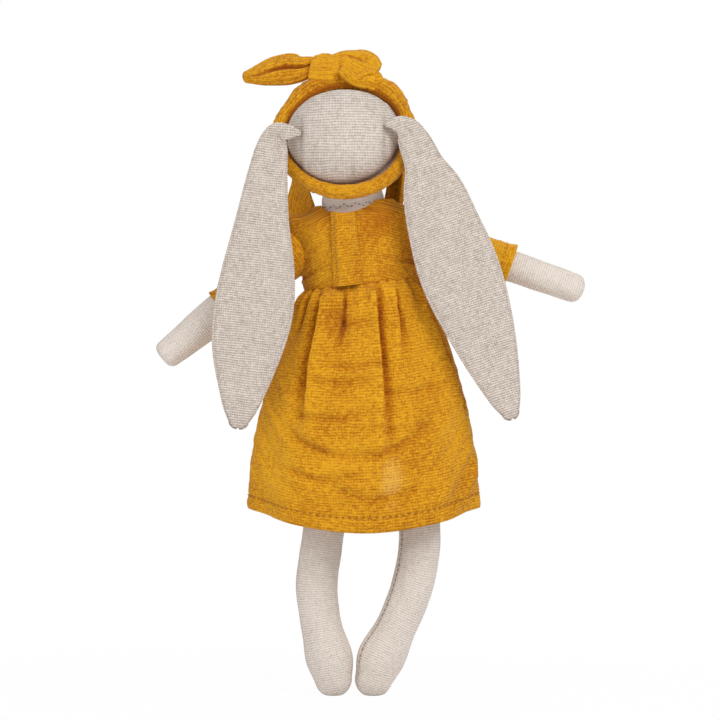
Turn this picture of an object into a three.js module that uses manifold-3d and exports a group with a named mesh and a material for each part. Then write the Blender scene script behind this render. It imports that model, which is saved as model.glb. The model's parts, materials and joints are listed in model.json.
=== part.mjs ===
// A linen rag-doll bunny in a muslin dress. Millimetres, +Z up, the face looks along +Y.
import * as THREE from 'three';
import { mergeVertices } from 'three/addons/utils/BufferGeometryUtils.js';
import Module from 'manifold-3d';

const wasm = await Module();
wasm.setup();

// Cloth and clearances
const GAP = 0.3;                  // between neighbouring pieces
const LINEN = 1.0;                // sewn linen skin
const MUSLIN = 1.0;               // doubled muslin of the dress
const HOLE_RADIUS = 3;            // hole the stuffing goes in through

// Torso, measured up from the waist along a leaning axis
const WAIST = new THREE.Vector3(3.4, 0, 195);
const LEAN = THREE.MathUtils.degToRad(6);
const HIP_SEAM = -53;
const BELLY_HEIGHT = -30;
const HIP_HALF_WIDTH = 25;
const BELLY_HALF_WIDTH = 27.5;
const WAIST_HALF_WIDTH = 25.5;
const CHEST_HALF_WIDTH = 26.5;
const NECK_HEIGHT = 43;
const SHOULDER_HEIGHT = NECK_HEIGHT - 9;
const CHEST_HEIGHT = NECK_HEIGHT - 24;
const NECK_HALF_WIDTH = 15.5;
const NECK_HALF_DEPTH = 11;
const DEPTH_RATIO = 0.6;          // depth of the torso to its width

// Head, a form turned about the axis of the snout
const HEAD_FROM_NECK = new THREE.Vector3(-4.4, -3, 30);
const HEAD_RADIUS = 27.4;
const HEAD_BACK = 25.6;
const SNOUT_LENGTH = 38;
const CHEEK_PULL = 44;
const SNOUT_PULL = 16;
const FACE_FLATTENING = 0.15;     // the cheeks are wider than tall
const SNOUT_DROP = THREE.MathUtils.degToRad(30);
const HEAD_TURN = THREE.MathUtils.degToRad(6);

// Ears
const EAR_LENGTH = 147;
const EAR_HALF_WIDTH = 19.2;
const EAR_HALF_DEPTH = 2.6;
const EAR_ROOT_HALF_WIDTH = 6.5;
const EAR_BEHIND = 16.5;          // ear root behind the head's middle
const EAR_SLOPE = THREE.MathUtils.degToRad(3);
const EARS = [
  { side: 'left', sign: -1, hang: 5.7, rise: 2.5, stepOut: 8.7, fullest: 0.56 },
  { side: 'right', sign: 1, hang: 17.8, rise: 5.5, stepOut: 6.2, fullest: 0.45 },
];

// Arms
const ARM_LENGTH = 76.5;
const ARM_RADIUS = 7.8;
const SHOULDER_RADIUS = 10;
const HAND_DOME = 6;
const ARM_STANDOFF = 4.7;         // shoulder pivot outside the torso skin
const ARMS = [
  { side: 'left', sign: -1, droop: 38.8, height: NECK_HEIGHT - 22.5 },
  { side: 'right', sign: 1, droop: 19, height: NECK_HEIGHT - 20.5 },
];

// Legs
const LEG_RADIUS = 10.3;
const LEG_TOP_HALF_DEPTH = 3.6;
const LEG_APART = 13;
const FOOT_DOME = 5;
const FOOT_SPREAD = 1.15;         // the foot's depth to the leg's, as it is pressed out by standing
const SOLE_CUT = 2.2;             // depth of the flat on the round end of the foot
const LEGS = [
  { side: 'left', sign: -1, thigh: -9.2, knee: -12.2, shin: -10.4, toe: -5.4 },
  { side: 'right', sign: 1, thigh: 12, knee: 7.4, shin: -1.2, toe: -12.6 },
];

// Dress
const NECKLINE = NECK_HEIGHT - 3.5;
const NECKLINE_HALF_WIDTH = 15;
const SLEEVE_LENGTH = 45.5;
const CUFF_EASE = 1.2;
const FLAP_LEFT = -13.6;          // free edge of the placket flap
const FLAP_HINGE = 0.6;           // sewn edge of the placket flap
const SKIRT_LENGTH = 110;
const SKIRT_DIP = 8;              // the hem hangs lower at the middle than at the sides
const HEM_HALF_WIDTH = 54.5;
const HEM_HALF_DEPTH = 35;
const SKIRT_FOLDS = 14;
const FOLD_DEPTH = 1.8;
const FRILL_SIDE_HEIGHT = 26;
const FRILL_FRONT_HEIGHT = 16;
const FRILL_SIDE_LIFT = 62;
const FRILL_FRONT_LIFT = -48;
const FRILL_WAVES = 9;

// Snaps under the placket flap
const SNAP_RADIUS = 2.2;
const SNAP_THICKNESS = 0.7;
const SNAP_KNOB_RADIUS = 0.9;
const SNAP_HEIGHTS = [9, NECK_HEIGHT - 18];
const SNAP_SETTLE = 0.45;         // the cloth is curved, so a flat snap stands off it a little more
const FLAP_STANDOFF = 2 * SNAP_THICKNESS + 3 * GAP + 2 * SNAP_SETTLE;

// Headband and bow
const BAND_HALF_HEIGHT = 3.1;
const BAND_HALF_WIDTH = 4.2;
const BAND_SLIT = 0.9;
const ELASTIC_WIDTH = 3;
const ELASTIC_THICKNESS = 0.8;
const BOW_OFFSET = -10.8;         // the bow sits left of the middle of the head
const KNOT_HALF_WIDTH = 5.5;
const KNOT_HALF_HEIGHT = 8.2;
const KNOT_HALF_DEPTH = 6.5;
const KNOT_RISE = 4.8;            // middle of the knot above the band
const LEFT_TAIL_LENGTH = 30;
const RIGHT_TAIL_LENGTH = 23;
const TAIL_HALF_WIDTH = 8.4;
const RIGHT_TAIL_DROOP = THREE.MathUtils.degToRad(35);
const RIGHT_TAIL_TURN = THREE.MathUtils.degToRad(30);

const UP = new THREE.Vector3(0, 0, 1);
const FORWARD = new THREE.Vector3(0, 1, 0);

function cloth(colour, roughness = 0.95) {
  return () => new THREE.MeshStandardMaterial({ color: colour, roughness, metalness: 0 });
}

const linen = cloth(0xdcd2c5);
const muslin = cloth(0xd5981f);
const wadding = cloth(0xf3f1ec);
const thread = cloth(0x3b332d, 0.7);
const rubber = cloth(0xe9e6df, 0.8);
const steel = () => new THREE.MeshStandardMaterial({ color: 0xb8bbbf, roughness: 0.35, metalness: 1 });

function piece(name, geometry, material) {
  const mesh = new THREE.Mesh(geometry, material());
  mesh.name = name;
  return mesh;
}

// Booleans work on solids; meshes are made from geometry
function toSolid(geometry) {
  const plain = new THREE.BufferGeometry();
  plain.setAttribute('position', geometry.getAttribute('position').clone());
  plain.setIndex(geometry.getIndex());
  const merged = mergeVertices(plain, 1e-4);
  return new wasm.Manifold(new wasm.Mesh({
    numProp: 3,
    vertProperties: new Float32Array(merged.getAttribute('position').array),
    triVerts: new Uint32Array(merged.getIndex().array),
  }));
}

function toGeometry(solid) {
  const mesh = solid.getMesh();
  const geometry = new THREE.BufferGeometry();
  geometry.setAttribute('position', new THREE.BufferAttribute(mesh.vertProperties, 3));
  geometry.setIndex(new THREE.BufferAttribute(mesh.triVerts, 1));
  return geometry;
}

function boxSolid(from, to) {
  const box = new THREE.Box3(new THREE.Vector3(...from), new THREE.Vector3(...to));
  const size = box.getSize(new THREE.Vector3());
  const middle = box.getCenter(new THREE.Vector3());
  return toSolid(new THREE.BoxGeometry(size.x, size.y, size.z).translate(middle.x, middle.y, middle.z));
}

// A ball for cutting a hollow: its flats lie outside the true radius, so a round piece clears them
function cuttingBall(radius) {
  const around = 14;
  const reach = radius / Math.cos(Math.PI / around) ** 2;
  return new THREE.SphereGeometry(reach, around, around / 2);
}

// A closed surface through rings of points that all have the same count
function loft(rings) {
  const count = rings[0].length;
  const points = rings.flat();
  const index = [];
  for (let ring = 0; ring < rings.length - 1; ring += 1) {
    for (let side = 0; side < count; side += 1) {
      const next = (side + 1) % count;
      const a = ring * count + side;
      const b = ring * count + next;
      index.push(a, b, b + count, a, b + count, a + count);
    }
  }
  const addCap = (ring, facingBack) => {
    const centre = new THREE.Vector3();
    rings[ring].forEach((point) => centre.addScaledVector(point, 1 / count));
    points.push(centre);
    for (let side = 0; side < count; side += 1) {
      const a = ring * count + side;
      const b = ring * count + ((side + 1) % count);
      index.push(points.length - 1, ...(facingBack ? [b, a] : [a, b]));
    }
  };
  addCap(0, true);
  addCap(rings.length - 1, false);
  const geometry = new THREE.BufferGeometry().setFromPoints(points);
  geometry.setIndex(index);
  return geometry;
}

function ellipseRing(centre, across, deep, halfWidth, halfDepth, sides) {
  const ring = [];
  for (let side = 0; side < sides; side += 1) {
    const angle = (side / sides) * 2 * Math.PI;
    ring.push(centre.clone()
      .addScaledVector(across, halfWidth * Math.cos(angle))
      .addScaledVector(deep, halfDepth * Math.sin(angle)));
  }
  return ring;
}

// A swelling and tapering form along a spine in the XZ plane. Each station is [x, z, half width, half depth];
// an end may have a dome, or run on straight by a length to cut an opening.
function form(stations, { steps = 8, sides = 14, inset = 0, domes = [0, 0], runs = [0, 0] } = {}) {
  const spine = new THREE.CatmullRomCurve3(stations.map(([x, z]) => new THREE.Vector3(x, 0, z)));
  const sizes = new THREE.CatmullRomCurve3(stations.map(([, , w, d]) => new THREE.Vector3(w, d, 0)));
  const domeSteps = 3;
  const rings = [];
  const addRing = (t, beyond, scale) => {
    const along = spine.getTangent(t);
    const across = new THREE.Vector3().crossVectors(FORWARD, along);
    const size = sizes.getPoint(t);
    const centre = spine.getPoint(t).addScaledVector(along, beyond);
    rings.push(ellipseRing(centre, across, FORWARD, (size.x - inset) * scale, (size.y - inset) * scale, sides));
  };
  const addDome = (t, length, direction) => {
    for (let step = 1; step <= domeSteps; step += 1) {
      const turn = (direction < 0 ? domeSteps - step + 1 : step) / (domeSteps + 0.35) * Math.PI / 2;
      addRing(t, direction * length * Math.sin(turn), Math.cos(turn));
    }
  };
  if (domes[0]) addDome(0, domes[0] - inset, -1);
  if (runs[0]) addRing(0, -runs[0], 1);
  for (let step = 0; step <= steps; step += 1) addRing(step / steps, 0, 1);
  if (domes[1]) addDome(1, domes[1] - inset, 1);
  if (runs[1]) addRing(1, runs[1], 1);
  return toSolid(loft(rings));
}

function cylinderSolid(radius, from, to, sides = 10) {
  const along = new THREE.Vector3().subVectors(to, from);
  const length = along.length();
  const cylinder = new THREE.CylinderGeometry(radius, radius, length, sides);
  cylinder.applyQuaternion(new THREE.Quaternion().setFromUnitVectors(FORWARD, along.normalize()));
  const middle = new THREE.Vector3().addVectors(from, to).multiplyScalar(0.5);
  return toSolid(cylinder.translate(middle.x, middle.y, middle.z));
}

const doll = new THREE.Group();
doll.name = 'bunny';

// Torso with the neck, in a frame at the waist that leans to the left
const torso = new THREE.Group();
torso.position.copy(WAIST);
torso.rotation.y = -LEAN;
doll.add(torso);
torso.updateMatrixWorld(true);

// The belly bends back, so the hip seam lies level while the chest leans
const HIP_SHIFT = (HIP_SEAM - BELLY_HEIGHT) * Math.tan(LEAN);
const TORSO_STATIONS = [
  [HIP_SHIFT, HIP_SEAM, HIP_HALF_WIDTH, 4],
  [0, BELLY_HEIGHT, BELLY_HALF_WIDTH, BELLY_HALF_WIDTH * DEPTH_RATIO],
  [0, 0, WAIST_HALF_WIDTH, WAIST_HALF_WIDTH * DEPTH_RATIO],
  [0, CHEST_HEIGHT, CHEST_HALF_WIDTH, CHEST_HALF_WIDTH * DEPTH_RATIO],
  [0, SHOULDER_HEIGHT, CHEST_HALF_WIDTH - 2, CHEST_HALF_WIDTH * DEPTH_RATIO - 3],
  [0, NECK_HEIGHT - 2, NECK_HALF_WIDTH, NECK_HALF_DEPTH - 1],
  [0, NECK_HEIGHT, NECK_HALF_WIDTH, NECK_HALF_DEPTH],
];
const TORSO_DOMES = [2.5, NECK_HALF_DEPTH];
const TORSO_SHAPE = { steps: 10, sides: 18, domes: TORSO_DOMES };

function torsoForm(inset) {
  return form(TORSO_STATIONS, { ...TORSO_SHAPE, inset });
}

const shoulderPoint = (arm) => new THREE.Vector3(arm.sign * (CHEST_HALF_WIDTH + ARM_STANDOFF), 1.5, arm.height);
const ARMHOLE_RADIUS = SHOULDER_RADIUS + MUSLIN + 2 * GAP;

function withoutArmholes(solid, inset = 0) {
  return ARMS.reduce((rest, arm) => {
    const { x, y, z } = shoulderPoint(arm);
    return rest.subtract(toSolid(cuttingBall(ARMHOLE_RADIUS + inset).translate(x, y, z)));
  }, solid);
}

const neckMouth = cylinderSolid(
  HOLE_RADIUS,
  new THREE.Vector3(0, 0, NECK_HEIGHT),
  new THREE.Vector3(0, 0, NECK_HEIGHT + 2 * NECK_HALF_DEPTH),
);
const torsoHollow = withoutArmholes(torsoForm(LINEN), LINEN);
const torsoSkin = withoutArmholes(torsoForm(0)).subtract(torsoHollow).subtract(neckMouth);
const torsoStuffing = withoutArmholes(torsoForm(LINEN + GAP), LINEN + GAP);
torso.add(piece('torso_skin', toGeometry(torsoSkin), linen));
torso.add(piece('torso_stuffing', toGeometry(torsoStuffing), wadding));

// Bodice, a layer over the torso split into a front and two back panels
const FAR = 200;
const bodiceInside = torsoForm(-GAP);
const bodiceOutside = torsoForm(-GAP - MUSLIN);
const neckOpening = toSolid(new THREE.CylinderGeometry(1, 1, FAR, 20)
  .scale(NECKLINE_HALF_WIDTH, 1, 9)
  .translate(0, 0, NECKLINE + 6));
const bodiceSlab = boxSolid([-FAR, -FAR, GAP / 2], [FAR, FAR, NECKLINE + 2]);
const bodice = withoutArmholes(bodiceOutside.subtract(bodiceInside)
  .intersect(bodiceSlab)
  .subtract(neckOpening));
const frontHalf = boxSolid([-FAR, GAP / 2, -FAR], [FAR, FAR, FAR]);
const backLeft = boxSolid([-FAR, -FAR, -FAR], [FLAP_HINGE - GAP, -GAP / 2, FAR]);
const backRight = boxSolid([FLAP_HINGE, -FAR, -FAR], [FAR, -GAP / 2, FAR]);
torso.add(piece('bodice_front', toGeometry(bodice.intersect(frontHalf)), muslin));
torso.add(piece('bodice_back_left', toGeometry(bodice.intersect(backLeft)), muslin));
torso.add(piece('bodice_back_right', toGeometry(bodice.intersect(backRight)), muslin));

// Placket flap over the left back panel, closed by two snaps
const flapInside = torsoForm(-GAP - MUSLIN - FLAP_STANDOFF);
const flapOutside = torsoForm(-GAP - 2 * MUSLIN - FLAP_STANDOFF);
const flapStrip = boxSolid([FLAP_LEFT, -FAR, GAP], [FLAP_HINGE, 0, NECKLINE + 1]);
const flap = flapOutside.subtract(flapInside).intersect(flapStrip).subtract(neckOpening);
torso.add(piece('placket_flap', toGeometry(flap), muslin));

// Half width and half depth of the torso at a height
function torsoSizeAt(z) {
  const sizes = new THREE.CatmullRomCurve3(TORSO_STATIONS.map(([, h, w, d]) => new THREE.Vector3(w, d, h)));
  return sizes.getPoints(400).reduce((best, p) => (Math.abs(p.z - z) < Math.abs(best.z - z) ? p : best));
}

function torsoDepthAt(x, z, layer) {
  const size = torsoSizeAt(z);
  return -(size.y + layer) * Math.sqrt(1 - (x / (size.x + layer)) ** 2);
}

// A snap half lies flat under the flap, turned to the slope of the cloth below it
function snapSlope(x, z, layer) {
  const step = 1;
  const rise = torsoDepthAt(x + step, z, layer) - torsoDepthAt(x - step, z, layer);
  const tilt = torsoDepthAt(x, z + step, layer) - torsoDepthAt(x, z - step, layer);
  const out = new THREE.Vector3(rise, -2 * step, tilt).normalize();
  return new THREE.Quaternion().setFromUnitVectors(new THREE.Vector3(0, -1, 0), out);
}

const SNAP_X = (FLAP_LEFT + FLAP_HINGE) / 2 - 1;
SNAP_HEIGHTS.forEach((height, number) => {
  const layer = GAP + MUSLIN;
  const seat = new THREE.Group();
  seat.position.set(SNAP_X, torsoDepthAt(SNAP_X, height, layer), height);
  seat.quaternion.copy(snapSlope(SNAP_X, height, layer));
  torso.add(seat);
  const studBack = -GAP - SNAP_SETTLE;
  const studFace = studBack - SNAP_THICKNESS;
  const socketFace = studFace - GAP;
  const socketBack = socketFace - SNAP_THICKNESS;
  const at = (y) => new THREE.Vector3(0, y, 0);
  const stud = cylinderSolid(SNAP_RADIUS, at(studBack), at(studFace))
    .add(cylinderSolid(SNAP_KNOB_RADIUS, at(studFace + 0.2), at(socketBack + GAP)));
  const socket = cylinderSolid(SNAP_RADIUS, at(socketFace), at(socketBack))
    .subtract(cylinderSolid(SNAP_KNOB_RADIUS + GAP, at(0), at(-FAR)));
  const label = number === 0 ? 'lower' : 'upper';
  seat.add(piece(`snap_stud_${label}`, toGeometry(stud), steel));
  seat.add(piece(`snap_socket_${label}`, toGeometry(socket), steel));
});

// Neck frill, gathered into the front neckline and standing out past both shoulders
function frillRing(t) {
  const angle = THREE.MathUtils.lerp(-0.06, 1.06, t) * Math.PI;
  const outward = new THREE.Vector3(Math.cos(angle), Math.sin(angle), 0);
  const towardFront = Math.max(0, Math.sin(angle));
  const lift = THREE.MathUtils.degToRad(THREE.MathUtils.lerp(FRILL_SIDE_LIFT, FRILL_FRONT_LIFT, towardFront));
  const fall = THREE.MathUtils.lerp(FRILL_SIDE_HEIGHT, FRILL_FRONT_HEIGHT, towardFront);
  const height = NECKLINE - 2.4 - 2 * towardFront;
  const size = torsoSizeAt(height);
  const layer = MUSLIN + 2 * GAP;
  const base = new THREE.Vector3((size.x + layer) * Math.cos(angle), (size.y + layer) * Math.sin(angle), height);
  const reach = outward.clone().multiplyScalar(Math.cos(lift)).addScaledVector(UP, Math.sin(lift));
  const normal = outward.clone().multiplyScalar(-Math.sin(lift)).addScaledVector(UP, Math.cos(lift));
  const wave = Math.cos(t * FRILL_WAVES * 2 * Math.PI);
  const point = (part, layer) => base.clone()
    .addScaledVector(reach, 1 + part * (fall - 1))
    .addScaledVector(normal, 2 * part * wave + layer * MUSLIN / 2);
  return [point(0, -1), point(0.5, -1), point(1, -1), point(1, 1), point(0.5, 1), point(0, 1)];
}

const FRILL_STEPS = 4 * FRILL_WAVES;
const frillRings = Array.from({ length: FRILL_STEPS + 1 }, (_, step) => frillRing(1 - step / FRILL_STEPS));
torso.add(piece('neck_frill', loft(frillRings), muslin));

// Skirt, gathered into the waist seam, with its main folds and a hem that dips at the middle
const SKIRT_ROWS = 6;
const SKIRT_SIDES = 4 * SKIRT_FOLDS;

function skirtRing(drop, inset) {
  const spread = Math.sin(drop * Math.PI / 2) ** 0.85;
  const halfWidth = THREE.MathUtils.lerp(WAIST_HALF_WIDTH + MUSLIN + GAP, HEM_HALF_WIDTH, spread) - inset;
  const halfDepth = THREE.MathUtils.lerp(
    WAIST_HALF_WIDTH * DEPTH_RATIO + MUSLIN + GAP,
    HEM_HALF_DEPTH,
    spread,
  ) - inset;
  const ring = [];
  for (let side = 0; side < SKIRT_SIDES; side += 1) {
    const angle = (side / SKIRT_SIDES) * 2 * Math.PI;
    const fold = FOLD_DEPTH * Math.min(1, 3 * drop) * Math.cos(SKIRT_FOLDS * angle);
    const length = drop * (SKIRT_LENGTH + SKIRT_DIP * (Math.sin(angle) ** 2 - 0.5));
    const x = (halfWidth + fold) * Math.cos(angle);
    const y = (halfDepth + fold) * Math.sin(angle);
    const seamSlope = (1 - drop) * x * Math.tan(LEAN);
    ring.push(new THREE.Vector3(x + 1.5 * drop, y, seamSlope - GAP - length));
  }
  return ring;
}

const drops = Array.from({ length: SKIRT_ROWS + 1 }, (_, row) => row / SKIRT_ROWS);
const skirtOutside = drops.map((drop) => skirtRing(drop, 0));
const skirtInside = drops.map((drop) => skirtRing(drop, MUSLIN));

// Rings run down the outside and back up the inside, so the cloth closes on itself
function tubeSkin(rings) {
  const count = rings[0].length;
  const index = [];
  rings.forEach((ring, row) => {
    const start = row * count;
    const below = ((row + 1) % rings.length) * count;
    for (let side = 0; side < count; side += 1) {
      const next = (side + 1) % count;
      index.push(start + side, below + next, start + next, start + side, below + side, below + next);
    }
  });
  const geometry = new THREE.BufferGeometry().setFromPoints(rings.flat());
  geometry.setIndex(index);
  return geometry;
}

const skirt = new THREE.Group();
skirt.position.copy(WAIST);
doll.add(skirt);
skirt.add(piece('skirt', tubeSkin([...skirtOutside, ...skirtInside.reverse()]), muslin));

// Head, in a frame whose +Y runs along the snout
const neckPivot = torso.localToWorld(new THREE.Vector3(0, 0, NECK_HEIGHT));
const head = new THREE.Group();
head.position.copy(neckPivot).add(HEAD_FROM_NECK);
head.rotation.set(-SNOUT_DROP, 0, -HEAD_TURN, 'ZXY');
doll.add(head);
head.updateMatrixWorld(true);

function headProfile(inset) {
  const back = new THREE.EllipseCurve(0, 0, HEAD_RADIUS - inset, HEAD_BACK - inset, -Math.PI / 2, 0);
  const tip = SNOUT_LENGTH - inset;
  const bandSeat = 0.75 * BAND_HALF_WIDTH;
  const front = new THREE.CubicBezierCurve(
    new THREE.Vector2(HEAD_RADIUS - inset, bandSeat),
    new THREE.Vector2(CHEEK_PULL - inset, bandSeat + 14),
    new THREE.Vector2(SNOUT_PULL - inset / 2, tip),
    new THREE.Vector2(0, tip),
  );
  const points = [...back.getPoints(4), ...front.getPoints(7)];
  points[0].x = 0;
  return points;
}

function flattening(y) {
  return 1 - FACE_FLATTENING * THREE.MathUtils.smoothstep(y, BAND_HALF_WIDTH, BAND_HALF_WIDTH + 12);
}

function headForm(inset) {
  const geometry = new THREE.LatheGeometry(headProfile(inset), 20);
  const position = geometry.getAttribute('position');
  for (let i = 0; i < position.count; i += 1) {
    position.setZ(i, position.getZ(i) * flattening(position.getY(i)));
  }
  return toSolid(geometry);
}

// The neck sits in a rounded recess, so the head can nod on it
const recessCentre = head.worldToLocal(neckPivot.clone());

function neckRecess(clearance) {
  const recess = cuttingBall(NECK_HALF_DEPTH + clearance);
  recess.scale((NECK_HALF_WIDTH + clearance) / (NECK_HALF_DEPTH + clearance), 1, 1);
  recess.applyQuaternion(torso.quaternion.clone());
  recess.applyQuaternion(head.quaternion.clone().invert());
  return toSolid(recess.translate(recessCentre.x, recessCentre.y, recessCentre.z));
}

const headSkin = headForm(0).subtract(headForm(LINEN)).subtract(neckRecess(GAP));
const headStuffing = headForm(LINEN + GAP).subtract(neckRecess(GAP));
head.add(piece('head_skin', toGeometry(headSkin), linen));
head.add(piece('head_stuffing', toGeometry(headStuffing), wadding));

// Point on the face, by its place along the snout and its angle above the side
function facePoint(sign, along, angleDegrees, out) {
  const profile = headProfile(0);
  const after = Math.max(1, profile.findIndex((point) => point.y >= along));
  const share = (along - profile[after - 1].y) / (profile[after].y - profile[after - 1].y);
  const radius = THREE.MathUtils.lerp(profile[after - 1].x, profile[after].x, share) + out;
  const angle = THREE.MathUtils.degToRad(angleDegrees);
  return new THREE.Vector3(
    sign * radius * Math.cos(angle),
    along,
    radius * Math.sin(angle) * flattening(along),
  );
}

// Closed eyes, each an embroidered arc
const EYE_THREAD = 0.7;
const EYE_STANDOFF = GAP + EYE_THREAD + 0.35;
[['left', -1], ['right', 1]].forEach(([side, sign]) => {
  const path = new THREE.CatmullRomCurve3([
    facePoint(sign, 9.5, 31, EYE_STANDOFF),
    facePoint(sign, 12, 25, EYE_STANDOFF),
    facePoint(sign, 15.5, 23.5, EYE_STANDOFF),
    facePoint(sign, 18, 28, EYE_STANDOFF),
  ]);
  const section = new THREE.Shape().absarc(0, 0, EYE_THREAD, 0, 2 * Math.PI);
  const arc = new THREE.ExtrudeGeometry(section, { steps: 6, curveSegments: 3, extrudePath: path });
  head.add(piece(`eye_${side}`, arc, thread));
});

// Nose, a pad of satin stitch on the tip of the snout
const nose = new THREE.SphereGeometry(1, 10, 6).scale(4.2, 1.1, 2.6);
nose.translate(0, SNOUT_LENGTH + GAP + 1.1, 0);
head.add(piece('nose', nose, thread));

// Headband, a casing of muslin slit along its inside, with an elastic in it
const headband = new THREE.Group();
head.add(headband);
const BAND_RADIUS = HEAD_RADIUS + GAP + BAND_HALF_HEIGHT;

function bandProfile() {
  const slit = Math.asin(BAND_SLIT / BAND_HALF_WIDTH);
  const outside = new THREE.EllipseCurve(
    BAND_RADIUS, 0, BAND_HALF_HEIGHT, BAND_HALF_WIDTH, -Math.PI + slit, Math.PI - slit,
  ).getPoints(8);
  const inside = new THREE.EllipseCurve(
    BAND_RADIUS, 0, BAND_HALF_HEIGHT - MUSLIN, BAND_HALF_WIDTH - MUSLIN, -Math.PI + slit, Math.PI - slit,
  ).getPoints(6);
  return [...outside, ...inside.reverse(), outside[0].clone()];
}

headband.add(piece('headband_casing', new THREE.LatheGeometry(bandProfile(), 32), muslin));
const elasticOutside = BAND_RADIUS + BAND_HALF_HEIGHT - MUSLIN - 2 * GAP;
const elasticProfile = [
  new THREE.Vector2(elasticOutside - ELASTIC_THICKNESS, -ELASTIC_WIDTH / 2),
  new THREE.Vector2(elasticOutside, -ELASTIC_WIDTH / 2),
  new THREE.Vector2(elasticOutside, ELASTIC_WIDTH / 2),
  new THREE.Vector2(elasticOutside - ELASTIC_THICKNESS, ELASTIC_WIDTH / 2),
  new THREE.Vector2(elasticOutside - ELASTIC_THICKNESS, -ELASTIC_WIDTH / 2),
];
headband.add(piece('headband_elastic', new THREE.LatheGeometry(elasticProfile, 32), rubber));

// Bow on the band, a knot with two leaf-shaped tails, in a frame on top of the band
const bow = new THREE.Group();
bow.position.set(BOW_OFFSET, 0, BAND_RADIUS + BAND_HALF_HEIGHT + KNOT_RISE);
headband.add(bow);
const knotStations = [
  [-KNOT_HALF_WIDTH, 0, KNOT_HALF_HEIGHT * 0.72, KNOT_HALF_DEPTH * 0.75],
  [-KNOT_HALF_WIDTH / 3, 0, KNOT_HALF_HEIGHT, KNOT_HALF_DEPTH],
  [KNOT_HALF_WIDTH / 3, 0, KNOT_HALF_HEIGHT, KNOT_HALF_DEPTH],
  [KNOT_HALF_WIDTH, 0, KNOT_HALF_HEIGHT * 0.72, KNOT_HALF_DEPTH * 0.75],
];
const bandClearance = toSolid(new THREE.TorusGeometry(BAND_RADIUS, BAND_HALF_WIDTH + 2 * GAP, 8, 32)
  .rotateX(Math.PI / 2)
  .translate(-bow.position.x, 0, -bow.position.z));
const knot = form(knotStations, { steps: 5, sides: 12, domes: [1.6, 1.6] }).subtract(bandClearance);
bow.add(piece('bow_knot', toGeometry(knot), muslin));

// A tail runs out from the knot along its own x; it is narrow at the knot, full in the middle and pointed
function bowTail(length, halfWidth, sign) {
  const stations = [
    [0, 0, halfWidth * 0.55, 2.4],
    [sign * length * 0.3, 0.5, halfWidth * 0.95, 3.4],
    [sign * length * 0.62, 1, halfWidth * 0.85, 3],
    [sign * length, -1, halfWidth * 0.25, 1.4],
  ];
  return toGeometry(form(stations, { steps: 7, sides: 12, domes: [1, 2] }));
}

const leftTail = piece('bow_tail_left', bowTail(LEFT_TAIL_LENGTH, TAIL_HALF_WIDTH, -1), muslin);
leftTail.position.set(-KNOT_HALF_WIDTH - 1.6 - GAP - 1, 0, 0);
bow.add(leftTail);
const rightTail = piece('bow_tail_right', bowTail(RIGHT_TAIL_LENGTH, TAIL_HALF_WIDTH, 1), muslin);
rightTail.position.set(KNOT_HALF_WIDTH + 1.6 + GAP + 1, -5.2, 1);
rightTail.rotation.set(0, RIGHT_TAIL_DROOP, -RIGHT_TAIL_TURN, 'ZYX');
bow.add(rightTail);

// Ears, each an outer and a lining layer, hung from the side of the head
function earStations(ear) {
  const shares = [
    [0, EAR_ROOT_HALF_WIDTH / EAR_HALF_WIDTH, 0],
    [0.04, 0.37, 0.06],
    [0.13, 0.48, 0.8],
    [ear.fullest - 0.26, 0.68, 1],
    [ear.fullest - 0.1, 0.94, 1],
    [ear.fullest + 0.03, 1, 1],
    [0.72, 0.86, 1],
    [0.86, 0.58, 1],
    [0.94, 0.36, 1],
    [0.975, 0.2, 1],
  ];
  return shares.map(([share, width, step]) => [
    ear.sign * ear.stepOut * step,
    -share * EAR_LENGTH,
    width * EAR_HALF_WIDTH,
    EAR_HALF_DEPTH * Math.min(1, 0.55 + 0.45 * width),
  ]);
}

// How far out the head's surface lies beside a place behind its middle
function headSide(sign, behind, rise) {
  const intoHead = head.quaternion.clone().invert();
  let out = HEAD_RADIUS;
  for (let pass = 0; pass < 8; pass += 1) {
    const place = new THREE.Vector3(sign * out, -behind, rise).applyQuaternion(intoHead);
    out *= HEAD_RADIUS * Math.sqrt(1 - (place.y / HEAD_BACK) ** 2) / Math.hypot(place.x, place.z);
  }
  return out;
}

const backLayer = boxSolid([-FAR, -FAR, -FAR], [FAR, -GAP / 2, FAR]);
const frontLayer = boxSolid([-FAR, GAP / 2, -FAR], [FAR, FAR, FAR]);
EARS.forEach((ear) => {
  const hinge = new THREE.Group();
  const hang = THREE.MathUtils.degToRad(ear.hang);
  const out = headSide(ear.sign, EAR_BEHIND, ear.rise) + EAR_ROOT_HALF_WIDTH * Math.cos(hang) + GAP;
  hinge.position.copy(head.position).add(new THREE.Vector3(ear.sign * out, -EAR_BEHIND, ear.rise));
  hinge.rotation.set(-EAR_SLOPE, -ear.sign * hang, 0);
  hinge.name = `ear_hinge_${ear.side}`;
  doll.add(hinge);
  const whole = form(earStations(ear), { steps: 9, sides: 12, domes: [2, 3] });
  hinge.add(piece(`ear_${ear.side}_outer`, toGeometry(whole.intersect(backLayer)), linen));
  hinge.add(piece(`ear_${ear.side}_lining`, toGeometry(whole.intersect(frontLayer)), linen));
});

// Arms with their sleeves, in frames at the shoulders; an arm hangs along its own -z
const ARM_STATIONS = [
  [0, 0, SHOULDER_RADIUS, SHOULDER_RADIUS],
  [0, -10, ARM_RADIUS + 0.6, ARM_RADIUS + 0.6],
  [0, -SLEEVE_LENGTH, ARM_RADIUS, ARM_RADIUS],
  [0, -ARM_LENGTH, ARM_RADIUS * 0.97, ARM_RADIUS * 0.97],
];

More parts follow.
